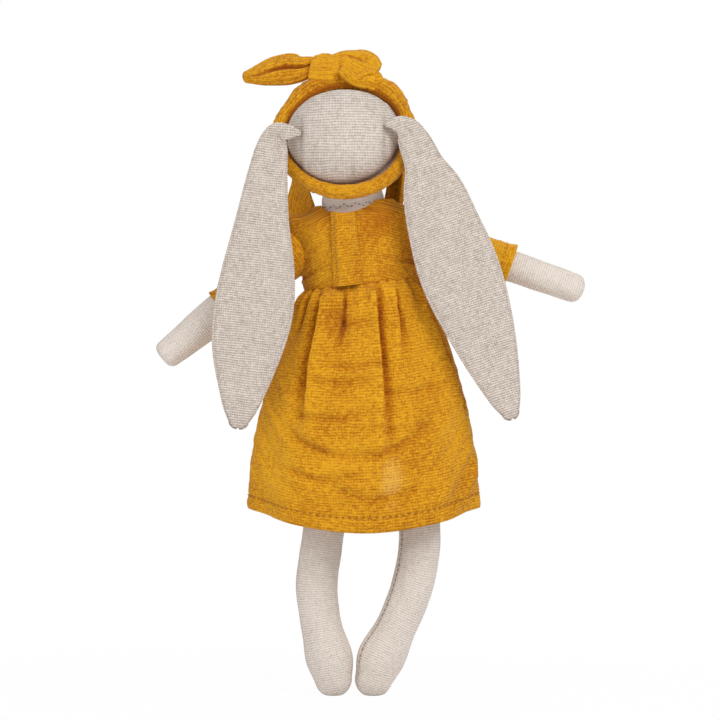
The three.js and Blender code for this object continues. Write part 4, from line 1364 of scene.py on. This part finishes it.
def pleat_shift(x, drop, pleats):
    """How far the pleats of one face push the cloth out, slide it across and cover it."""
    push = 0.0
    slide = 0.0
    hidden = 0.0
    for waist_x, end_x, reach, deep, width, lap in pleats:
        share = drop / reach
        if share > 1.6:
            continue
        spread = width * (0.55 + 0.75 * share)
        apart = (x - mix(waist_x, end_x, share)) / spread
        fade = (1 - ease(0.6, 1.5, share)) * ease(0, 0.14, drop / 0.3)
        if lap == 0:
            lips = 0.28 * (hump(apart, -1.6, 0.8) + hump(apart, 1.6, 0.8))
            push += deep * fade * (lips - hump(apart, 0, 0.6))
            hidden += fade * hump(apart, 0, 0.5)
            slide -= 0.55 * spread * apart * hump(apart, 0, 1.3) * fade
        else:
            ahead = apart * lap
            top = 0.55 * hump(ahead, 0, 1.5 if ahead < 0 else 0.2)
            under = 0.85 * hump(ahead, 0.65, 0.7) * ease(0, 0.3, ahead)
            push += deep * fade * (top - under)
            hidden += fade * under
            slide += 0.55 * lap * spread * hump(ahead, -0.1, 0.5) * fade
    return push, slide, hidden


def wrinkle_height(x, fall):
    """Height of the soft wrinkles that lie across the back of the skirt."""
    height = 0.0
    for middle_fall, middle_x, reach, deep in WRINKLES:
        below = fall - middle_fall + WRINKLE_SAG * (x - middle_x) ** 2
        fade = 1 - ease(0.6, 1.0, abs(x - middle_x) / reach)
        height += 1.7 * deep * fade * (0.7 * hump(below, -3.8, 3.0) - hump(below, 0, 1.9))
    return height


def skirt_spread(drop):
    """Share of the way from the waist's size to the hem's."""
    return math.sin(drop * math.pi / 2) ** 0.8


def skirt_point(turn, drop, out=0.0):
    """A point of the skirt: turn runs round it from the right side, drop from the waist to the hem."""
    spread = skirt_spread(drop)
    half_width = mix(WAIST_HALF_WIDTH + WAIST_EASE + MUSLIN + GAP, HEM_HALF_WIDTH, spread)
    half_depth = mix(WAIST_HALF_WIDTH * DEPTH_RATIO + MUSLIN + GAP, HEM_HALF_DEPTH, spread)
    cosine, sine = math.cos(turn), math.sin(turn)
    x = half_width * cosine
    fall = drop * SKIRT_LENGTH
    push, slide, _ = pleat_shift(x, drop, BACK_PLEATS if sine < 0 else FRONT_PLEATS)
    facing = ease(0.05, 0.35, abs(sine))
    push = max(push, -max(0, half_depth - BELLY_HALF_WIDTH * DEPTH_RATIO - GAP)) * facing
    slide *= facing
    gathers = math.sin(WAIST_GATHERS * turn + 2 * ripple(turn * 2, 3, 5))
    push += GATHER_HEIGHT * gathers * hump(drop, 0.03, 0.08)
    push += HEM_WAVE_HEIGHT * math.cos(HEM_WAVES * turn + 1.2) * ease(0.35, 1, drop)
    arc = 40 * (1 - abs(sine))
    soft = ripple(x / 26 + 9, (fall + arc) / 8, 2.0 + sine) + 0.6 * ripple(x / 12, (fall + arc) / 4.0, 8.0)
    push += mix(0.5, 1.3, facing) * soft * ease(0.15, 0.45, drop) * (1 - 0.5 * ease(0.93, 1, drop))
    if sine < 0:
        push += wrinkle_height(x, fall) * facing
    push += 0.5 * hump(drop, 0.05, 0.04) - 1.4 * (1 - ease(0, 0.02, drop))
    length = drop * (SKIRT_LENGTH + SKIRT_DIP * (sine * sine - 0.5))
    seam_slope = (1 - drop) * x * math.tan(LEAN)
    outward = Vector((cosine / half_width, sine / half_depth, 0)).normalized()
    tucked = 1.0 - ease(0, 0.012, drop) + WAIST_SEAM * (1 - ease(0, 0.15, drop))
    point = Vector((x + 0.6 * drop + slide, half_depth * sine, seam_slope + tucked - length))
    return WAIST @ (point + outward * (push + out))


WORN_PATCH = (13.5, 87.0, 5.5, 13.0)      # place across and down the back, and its half sizes


def skirt_wear_and_shade(turn, fall):
    """Where the muslin of the skirt is rubbed pale, above 0; painted shade under the pleats and in the
    wrinkles' valleys, below 0; and painted light on the wrinkles' ridges, a little above 0.
    """
    drop = fall / SKIRT_LENGTH
    x = mix(WAIST_HALF_WIDTH + MUSLIN + GAP, HEM_HALF_WIDTH, skirt_spread(drop)) * math.cos(turn)
    if math.sin(turn) > 0:
        return -1.2 * pleat_shift(x, drop, FRONT_PLEATS)[2]
    middle_x, middle_fall, reach_x, reach_fall = WORN_PATCH
    patch = hump(x, middle_x, reach_x) * hump(fall, middle_fall, reach_fall)
    return patch - 1.2 * pleat_shift(x, drop, BACK_PLEATS)[2] + min(0.1, 0.4 * wrinkle_height(x, fall))


class BUNNY_OT_skirt(bpy.types.Operator):
    """Gather the skirt into the waist seam and hem it"""
    bl_idname = "bunny.skirt"
    bl_label = "Skirt"

    def execute(self, context):
        crinkle = crinkle_height()
        hem_share = HEM_ALLOWANCE / SKIRT_LENGTH

        def place(u, v):
            turn = math.pi / 2 + 2 * math.pi * u
            fall = v * SKIRT_LENGTH
            wave = crinkle * 0.8 * ripple(HEM_LENGTH * u / 5, fall / 3, 21)
            turned_up = 0.55 * hump(v, 1 - hem_share * 0.35, hem_share * 0.4)
            wave += turned_up - 0.45 * hump(v, 1 - hem_share, 0.007)
            point = skirt_point(turn, v, wave)
            return point, (HEM_LENGTH * u, fall), skirt_wear_and_shade(turn, fall)

        middle = WAIST @ Vector((0, 0, -SKIRT_LENGTH / 2))
        piece = cloth_grid("skirt_cloth", 300, 130, place, inside=middle, painted_shading=painted_back_shading)
        sheet_of(piece, "muslin", "torso", "skirt", MUSLIN, flat=(0.29, 0.118), held="gathered")
        return {"FINISHED"}


# Neck frill

def frill_point(share, part, out=0.0):
    angle = mix(0.04, 0.95, share) * math.pi
    outward = Vector((math.cos(angle), math.sin(angle), 0))
    front = max(0.0, math.sin(angle))
    turned_down = ease(0.8, 1, front) if outward.x > 0 else ease(0.25, 0.9, front)
    lift = mix(FRILL_SIDE_LIFT, FRILL_FRONT_LIFT, turned_down)
    fall = mix(FRILL_SIDE_HEIGHT, FRILL_FRONT_HEIGHT, ease(0.2, 0.7, front))
    height = NECKLINE - 2.4 - 2 * front
    half_width, half_depth = torso_size(round(height, 4))
    layer = MUSLIN + 2 * GAP
    drawn_in = 1 - (0 if outward.x > 0 else FRILL_DRAWN_IN) * (1 - ease(0.3, 0.9, front))
    aside = (half_width + layer) * math.cos(angle) * drawn_in
    base = Vector((aside, (half_depth + layer) * math.sin(angle), height))
    reach = outward * math.cos(lift) + UP * math.sin(lift)
    normal = outward * -math.sin(lift) + UP * math.cos(lift)
    wave = 2.0 * part * math.cos(share * FRILL_FLUTES * 2 * math.pi)
    wave += 0.7 * math.cos(share * FRILL_GATHERS * 2 * math.pi) * hump(part, 0.1, 0.35)
    return TORSO @ (base + reach * (1 + part * (fall - 1)) + normal * (wave + out))


class BUNNY_OT_frill(bpy.types.Operator):
    """Gather the frill into the front neckline"""
    bl_idname = "bunny.frill"
    bl_label = "Neck frill"

    def execute(self, context):
        crinkle = crinkle_height()

        def place(u, v):
            wave = crinkle * 0.5 * ripple(u * 40, v * 6, 31) + 0.3 * hump(v, 0.97, 0.03)
            return frill_point(u, v, wave), (u * FRILL_CLOTH[0], v * FRILL_CLOTH[1]), 0.0

        piece = cloth_grid("neck_frill_cloth", 220, 28, place, inside=TORSO @ Vector((0, 0, 0)))
        sheet_of(piece, "muslin", "torso", "neck_frill", FRILL_SHEET, flat=(0.12, 0.024), held="gathered")
        return {"FINISHED"}


# Headband and bow

def band_point(radius, along, turn):
    """A point of the headband, which stands off the head at the ears and hangs to the right below."""
    rise = math.sin(turn)
    outer = (radius - BAND_RADIUS) / BAND_HALF_HEIGHT * 0.5 + 0.5
    spread = BAND_SPREAD * outer * ease(-0.6, 0.3, rise)
    low = ease(0, 1, -rise)
    from_bow = abs(turn_between(turn, BOW_TURN))
    radius += BAND_RISE * outer * (1 - ease(*BOW_PULL, from_bow))
    across = radius * math.cos(turn) * (1 + spread) + BAND_SWAY * low
    return HEAD @ Vector((across, along, radius * rise - BAND_SAG * low))


class BUNNY_OT_headband(bpy.types.Operator):
    """Sew the headband's casing round its elastic"""
    bl_idname = "bunny.headband"
    bl_label = "Headband"

    def execute(self, context):
        crinkle = crinkle_height()

        def casing(u, v):
            turn = 2 * math.pi * u
            round_tube = 2 * math.pi * v
            gather = 0.45 * ripple(turn * 5, 2 * math.cos(round_tube), 2 * math.sin(round_tube))
            gather += crinkle * ripple(turn * 16, 3 * math.cos(round_tube), 3 * math.sin(round_tube) + 9)
            inward = ease(0.2, 1, -math.cos(round_tube))
            height = BAND_HALF_HEIGHT + gather * (1 - inward)
            width = BAND_HALF_WIDTH + gather
            radius = BAND_RADIUS + height * math.cos(round_tube)
            along = width * math.sin(round_tube)
            shade = -2.2 * hump(round_tube, math.pi + 0.5, 0.35)
            spot = (BAND_RADIUS * turn, 2 * math.pi * BAND_TUBE_RADIUS * v)
            return band_point(radius, along, turn), spot, shade

        def elastic(u, v):
            turn = 2 * math.pi * u
            corner = 2 * math.pi * v
            outside = BAND_RADIUS + BAND_HALF_HEIGHT - MUSLIN - 2 * GAP
            radius = outside - 0.4 + 0.4 * max(-1, min(1, 3 * math.cos(corner)))
            along = 1.5 * max(-1, min(1, 1.4 * math.sin(corner)))
            return band_point(radius, along, turn), (BAND_RADIUS * turn, 6 * v), 0.0

        # pale=-0.05 is a little painted shade over the casing
        band = cloth_grid("headband_cloth", 220, 40, casing, pale=-0.05)
        # The casing is one closed layer, which is measured as two, so its area is half of its flat
        sheet_of(band, "muslin", "headband", "headband_casing", 0,
                 flat=(0.19, 0.024), held="gathered", area=0.0023)
        strip = cloth_grid("headband_elastic_strip", 120, 12, elastic)
        dress(strip, material("elastic"), "elastic", "headband", "headband_elastic")
        return {"FINISHED"}


def knot_shape(angle, share):
    """Ribs of the cloth wrapped round the knot."""
    ribs = 0.42 * math.cos(17 * angle + 1.5 * math.sin(share * 4)) + 0.3 * math.cos(7 * angle + 0.6)
    return ribs - 0.3 * hump(share, 0.5, 0.2)


SEEN_SIDE = math.radians(-120)      # the bow leans forward, so its lower side faces the back


def slit_shape(angle, share):
    """A long slit between two soft rolls, on the side that faces back, with smaller creases beside it."""
    slit = hump(turn_between(angle, SEEN_SIDE + 0.42 * math.sin(math.pi * share)), 0, 0.13)
    ribs = 0.2 * math.cos(13 * angle + 2.5 * share)
    return -3.0 * slit * hump(share, 0.4, 0.45) + ribs


def upper_fold_shape(angle, share):
    notch = hump(turn_between(angle, -math.pi / 2 - 0.25), 0, 0.16)
    return -1.2 * notch * hump(share, 0.45, 0.4) + 0.2 * math.cos(9 * angle + 3 * share)


def lower_fold_shape(angle, share):
    crease = hump(turn_between(angle, -math.pi / 2 + 0.9 - 1.8 * share), 0, 0.1)
    return -0.9 * crease * hump(share, 0.75, 0.25) + 0.15 * math.cos(7 * angle - 3 * share)


KNOT_STATIONS = (
    (-KNOT_HALF_WIDTH, -0.8, KNOT_HALF_HEIGHT * 0.93, KNOT_HALF_DEPTH * 0.9),
    (-KNOT_HALF_WIDTH / 3, -1.3, KNOT_HALF_HEIGHT + 1.1, KNOT_HALF_DEPTH),
    (KNOT_HALF_WIDTH / 3, -1.3, KNOT_HALF_HEIGHT + 1.1, KNOT_HALF_DEPTH),
    (KNOT_HALF_WIDTH, -0.8, KNOT_HALF_HEIGHT * 0.93, KNOT_HALF_DEPTH * 0.9),
)
# Tails and folds, each from inside the knot to its tip: across, height, half height and half depth
LEFT_TAIL = (
    (-4, 3.6, 3.4, 2.6), (-7.6, 3.6, 4.2, 3.0), (-11.6, 1.9, 7.0, 3.6), (-17.5, 1.2, 8.8, 4.0),
    (-23.3, 0.4, 8.5, 3.8), (-31, -1.6, 6.3, 3.1), (-38.6, -3.4, 3.2, 2.0),
)
UPPER_FOLD = (
    (4, 3.6, 4.2, 2.4), (9, 4.0, 5.6, 3.0), (13, 2.2, 8.2, 3.2),
    (17.2, 0.0, 9.4, 3.0), (21.4, -2.2, 8.4, 2.6), (24.4, -4.0, 6.0, 1.8),
)
LOWER_FOLD = (
    (7.6, -0.6, 2.2, 2.0), (10.8, -3.3, 2.8, 2.4), (14, -5.5, 2.8, 2.4), (17.6, -5.6, 4.2, 2.4),
    (21.2, -5.1, 5.2, 2.2), (24.4, -5.8, 5.2, 1.8), (26.4, -5.2, 3.9, 1.4),
)


class BUNNY_OT_bow(bpy.types.Operator):
    """Tie the bow on the headband"""
    bl_idname = "bunny.bow"
    bl_label = "Bow"

    def execute(self, context):
        swung = BOW @ Matrix.Translation((0, -1.5, 0)) @ Matrix.Rotation(math.radians(-6), 4, "Z")
        folded = Matrix.Translation(BOW.translation - FORWARD * 10.5)
        # The last value of each row is pale: painted light on the knot and the right tail
        rows = (
            ("bow_knot", ((KNOT_STATIONS, BOW, 1.6, knot_shape),), (0.018, 0.02), 0.22),
            ("bow_tail_left", ((LEFT_TAIL, BOW, 2.0, slit_shape),), (0.018, 0.036), 0.0),
            ("bow_tail_right", ((UPPER_FOLD, swung, 1.6, upper_fold_shape),
                                (LOWER_FOLD, folded, 1.6, lower_fold_shape)), (0.025, 0.03), 0.22),
        )
        for node, folds, flat, pale in rows:
            cloths = [
                stuffed(f"{node}_fold", stations, at, (1.0 if node != "bow_knot" else dome, dome), 108, 48,
                        lump=0.3, grain="along", shape=shape, pale=pale)
                for stations, at, dome, shape in folds
            ]
            piece = join_cloths(f"{node}_cloth", cloths)
            sheet_of(piece, "muslin", "headband", node, 0, flat=flat, held="folded")
        return {"FINISHED"}


# Stitches and embroidery

def sew(name, path, count, thickness, share, thread, body, *nodes):
    """A row of stitches: path(t) gives a point and the way out of the cloth, share is stitch to pitch."""
    row = bmesh.new()
    for number in range(count):
        first, out = path(number / count)
        second, _ = path((number + share) / count)
        along = second - first
        if along.length < 0.01:
            continue
        middle = (first + second) / 2 + out * thickness * 0.3
        x_axis = along.normalized()
        y_axis = out.cross(x_axis).normalized()
        size = Matrix.Diagonal((along.length / 2 + thickness * 0.4, thickness, thickness, 1))
        spot = Matrix.Scale(MM, 4) @ axes_at(middle, x_axis, y_axis) @ size
        bmesh.ops.create_icosphere(row, subdivisions=2, radius=1, matrix=spot)
    for face in row.faces:
        face.smooth = True
    bmesh.ops.recalc_face_normals(row, faces=row.faces)
    return dress(object_from(row, name), material(thread), "thread", body, *nodes)


class BUNNY_OT_stitching(bpy.types.Operator):
    """Sew the visible stitches of the dress and the legs"""
    bl_idname = "bunny.stitching"
    bl_label = "Stitching"

    def execute(self, context):
        pitch = sewing_settings().stitch_pitch / MM
        hem_share = 1 - HEM_ALLOWANCE / SKIRT_LENGTH

        def hem(t):
            turn = 2 * math.pi * t
            drop = hem_share + 0.004 * ripple(t * 90, 0, 41)
            point = skirt_point(turn, drop)
            return point, skirt_point(turn, drop, 1) - point

        sew("hem_stitches", hem, round(HEM_LENGTH / pitch), 0.26, 0.52, "sewing", "torso")

        for side, sign in SIDES:
            length = knots_of(sleeve_stations(side))[-1]

            def cuff(t):
                turn = 2 * math.pi * t
                point = sleeve_point(side, sign, turn, length - CUFF_HEM, 0.1)
                return point, sleeve_point(side, sign, turn, length - CUFF_HEM, 1.1) - point

            count = round(2 * math.pi * (ARM_RADIUS + CUFF_EASE + MUSLIN) / pitch)
            sew(f"cuff_{side}_stitches", cuff, count, 0.2, 0.5, "dress sewing", f"arm_{side}")

        edges = (("free", FLAP_TOPSTITCH, "placket"), ("sewn", FLAP_SEWN_STITCH, "torso"))
        for label, across, body in edges:
            def edge(t):
                height = mix(WAIST_SEAM + 1.5, NECKLINE - 3.4, t)
                return flap_point(across, height, 0.1), TORSO.to_3x3() @ Vector((0, -1, 0))

            sew(f"placket_{label}_stitches", edge, 14, 0.15, 0.5, "dress sewing", body)

        def neck(t):
            angle = mix(-2.7, -0.5, t)
            height = NECK_HEIGHT - 3.0 + 0.9 * math.sin(37 * t)
            half_width, half_depth = torso_size(round(height, 4))
            out = Vector((math.cos(angle), math.sin(angle), 0))
            point = Vector((half_width * out.x, half_depth * out.y, height))
            return TORSO @ point, TORSO.to_3x3() @ out

        sew("neck_stitches", neck, 19, 0.2, 0.55, "neck sewing", "torso")

        for side, sign in SIDES:
            at, stations, angle = leg_frame(side), leg_stations(side), leg_seam(side)
            run_length = knots_of(stations)[-1]

            def seam(t):
                run = round(mix(0.3, 0.97, t) * run_length, 4)
                x, z, half_width, half_depth = station_at(stations, run)
                across = FORWARD.cross(direction_at(stations, run))
                out = across * math.cos(angle) + FORWARD * math.sin(angle)
                sunk = seam_depth()
                point = Vector((x, 0, z)) + across * ((half_width - sunk) * math.cos(angle))
                point += FORWARD * ((half_depth - sunk) * math.sin(angle))
                return at @ point, out

            count = round(0.67 * run_length / pitch)
            sew(f"leg_{side}_stitches", seam, count, 0.22, 0.5, "pale sewing", f"leg_{side}")
        return {"FINISHED"}


EYE_SPOTS = ((9.5, 31), (12, 25), (15.5, 23.5), (18, 28))
NOSE_HALF_WIDTH = 4.2
NOSE_HALF_HEIGHT = 2.6


def face_point(sign, along, degrees, out=0.0):
    """A point of the face by its place along the snout and its angle over the side."""
    low, high = SEAT_SHARE, 1.0
    for _ in range(30):
        middle = (low + high) / 2
        if head_profile(middle, 0)[1] < along:
            low = middle
        else:
            high = middle
    radius = head_profile(low, 0)[0] + out
    angle = math.radians(degrees)
    up = radius * math.sin(angle) * flattening(along, angle)
    return HEAD @ Vector((sign * radius * math.cos(angle), along, up))


class BUNNY_OT_face(bpy.types.Operator):
    """Embroider the closed eyes and the nose"""
    bl_idname = "bunny.face"
    bl_label = "Face"

    def execute(self, context):
        for side, sign in SIDES:
            def lid(t):
                spot = min(len(EYE_SPOTS) - 1.001, t * (len(EYE_SPOTS) - 1))
                first, second = EYE_SPOTS[int(spot)], EYE_SPOTS[int(spot) + 1]
                along = mix(first[0], second[0], spot % 1)
                degrees = mix(first[1], second[1], ease(0, 1, spot % 1))
                point = face_point(sign, along, degrees, 0.35)
                return point, (face_point(sign, along, degrees, 1.35) - point).normalized()

            sew(f"eye_{side}_stitches", lid, 9, 0.62, 1.15, "embroidery", "head", f"eye_{side}")

        rows = 11

        def satin(t):
            row = int(t * rows + 1e-6)
            share = t * rows - row
            rise = mix(NOSE_HALF_HEIGHT, -NOSE_HALF_HEIGHT, row / (rows - 1))
            half = NOSE_HALF_WIDTH * (0.35 + 0.65 * ease(-NOSE_HALF_HEIGHT, NOSE_HALF_HEIGHT * 0.6, rise))
            spot = Vector((mix(-half, half, min(1, share / 0.98)), SNOUT_LENGTH + 0.2, rise))
            spot.y -= (spot.x * spot.x + spot.z * spot.z) / 26
            return HEAD @ spot, SNOUT

        sew("nose_stitches", satin, rows, 0.42, 0.98, "embroidery", "head", "nose")
        return {"FINISHED"}


# Stage

PICTURE_MIDDLE = Vector((-1.0, 0, -34.2))      # from the waist to the middle of the picture


class BUNNY_OT_stage(bpy.types.Operator):
    """Set up the camera, the floor and the soft light"""
    bl_idname = "bunny.stage"
    bl_label = "Stage"

    def execute(self, context):
        settings = stage_settings()
        scene = context.scene
        scene.view_settings.view_transform = "Standard"
        picture_middle = (TORSO.translation + PICTURE_MIDDLE) * MM
        camera = bpy.data.objects.new("camera", bpy.data.cameras.new("camera"))
        camera.data.angle = 2 * math.atan(settings.picture_width / 2 / settings.camera_distance)
        camera.location = picture_middle - FORWARD * settings.camera_distance
        camera.rotation_euler = (math.pi / 2, 0, 0)
        scene.collection.objects.link(camera)
        scene.camera = camera
        self.lights(scene, picture_middle, settings)
        self.world(scene, settings)
        self.floor()
        return {"FINISHED"}

    def lights(self, scene, aim, settings):
        rows = (("key light", (0.55, -0.9, 0.75), 0.7, 1.0), ("fill light", (-0.8, -0.7, 0.35), 0.9, 0.35),
                ("rim light", (0.1, 0.9, 0.7), 0.8, 0.6))
        for name, place, size, share in rows:
            lamp = bpy.data.lights.new(name, "AREA")
            lamp.energy = settings.key_power * share
            lamp.size = size
            light = bpy.data.objects.new(name, lamp)
            light.location = aim + Vector(place)
            light.rotation_euler = (-Vector(place)).to_track_quat("-Z", "Y").to_euler()
            scene.collection.objects.link(light)

    def world(self, scene, settings):
        sky = bpy.data.worlds.new("soft white")
        sky.use_nodes = True
        nodes, links = sky.node_tree.nodes, sky.node_tree.links
        lit = nodes["Background"]
        lit.inputs["Color"].default_value = (1, 1, 1, 1)
        lit.inputs["Strength"].default_value = settings.sky_strength
        seen = nodes.new("ShaderNodeBackground")
        seen.inputs["Color"].default_value = (1, 1, 1, 1)
        seen.inputs["Strength"].default_value = 1.0
        mixer = nodes.new("ShaderNodeMixShader")
        links.new(seen_directly(nodes, links), mixer.inputs["Fac"])
        links.new(lit.outputs["Background"], mixer.inputs[1])
        links.new(seen.outputs["Background"], mixer.inputs[2])
        links.new(mixer.outputs["Shader"], nodes["World Output"].inputs["Surface"])
        scene.world = sky

    def floor(self):
        plane = bmesh.new()
        bmesh.ops.create_grid(plane, x_segments=1, y_segments=1, size=4.0)
        ground = object_from(plane, "floor")
        finish = Finish("white floor")
        finish.surface((0.9, 0.9, 0.9, 1), 0.9)
        glow = finish.node("ShaderNodeEmission", {}, {"Color": (1, 1, 1, 1), "Strength": 1.0})
        place = finish.node("ShaderNodeTexCoord", {}, {}).outputs["Object"]
        length = {"operation": "LENGTH"}
        away = finish.field("ShaderNodeVectorMath", "Value", length, {0: Field(finish, place)})
        seen = Field(finish, seen_directly(finish.nodes, finish.links))
        share = seen * (0.96 + 0.04 * away.above(0.12, 0.4))
        mixer = finish.node("ShaderNodeMixShader", {}, {"Fac": share})
        finish.links.new(finish.shader.outputs["BSDF"], mixer.inputs[1])
        finish.links.new(glow.outputs["Emission"], mixer.inputs[2])
        finish.links.new(mixer.outputs["Shader"], finish.nodes["Material Output"].inputs["Surface"])
        ground.data.materials.append(finish.material)


def seen_directly(nodes, links):
    """A socket that is 1 where the camera, a reflection or a clear piece sees the surface."""
    path = nodes.new("ShaderNodeLightPath")
    seen = path.outputs["Is Camera Ray"]
    for ray in ("Is Glossy Ray", "Is Transmission Ray"):
        either = nodes.new("ShaderNodeMath")
        either.operation = "MAXIMUM"
        links.new(seen, either.inputs[0])
        links.new(path.outputs[ray], either.inputs[1])
        seen = either.outputs[0]
    return seen


STEPS = (
    BUNNY_OT_stage, BUNNY_OT_torso, BUNNY_OT_head, BUNNY_OT_ears, BUNNY_OT_arms, BUNNY_OT_legs,
    BUNNY_OT_bodice, BUNNY_OT_placket, BUNNY_OT_sleeves, BUNNY_OT_skirt, BUNNY_OT_frill,
    BUNNY_OT_headband, BUNNY_OT_bow, BUNNY_OT_stitching, BUNNY_OT_face,
)


class BUNNY_PT_panel(bpy.types.Panel):
    """Steps of the bunny's making, with its cloths and sewing"""
    bl_idname = "BUNNY_PT_panel"
    bl_label = "Linen Bunny"
    bl_space_type = "VIEW_3D"
    bl_region_type = "UI"
    bl_category = "Bunny"

    def draw(self, context):
        for group in (cloth_settings(), sewing_settings(), stage_settings()):
            box = self.layout.box()
            for name in group.bl_rna.properties.keys():
                if name not in ("rna_type", "name"):
                    box.prop(group, name)
        for step in STEPS:
            self.layout.operator(step.bl_idname)


GROUPS = {"bunny_cloth": BunnyCloth, "bunny_sewing": BunnySewing, "bunny_stage": BunnyStage}
CLASSES = (*GROUPS.values(), *STEPS, BUNNY_PT_panel)


def register():
    for kind in CLASSES:
        bpy.utils.register_class(kind)
    for name, group in GROUPS.items():
        setattr(bpy.types.Scene, name, bpy.props.PointerProperty(type=group))


def unregister():
    for name in GROUPS:
        delattr(bpy.types.Scene, name)
    for kind in reversed(CLASSES):
        bpy.utils.unregister_class(kind)


def main():
    register()
    for step in STEPS:
        group, name = step.bl_idname.split(".")
        getattr(getattr(bpy.ops, group), name)()


if __name__ == "__main__":
    main()
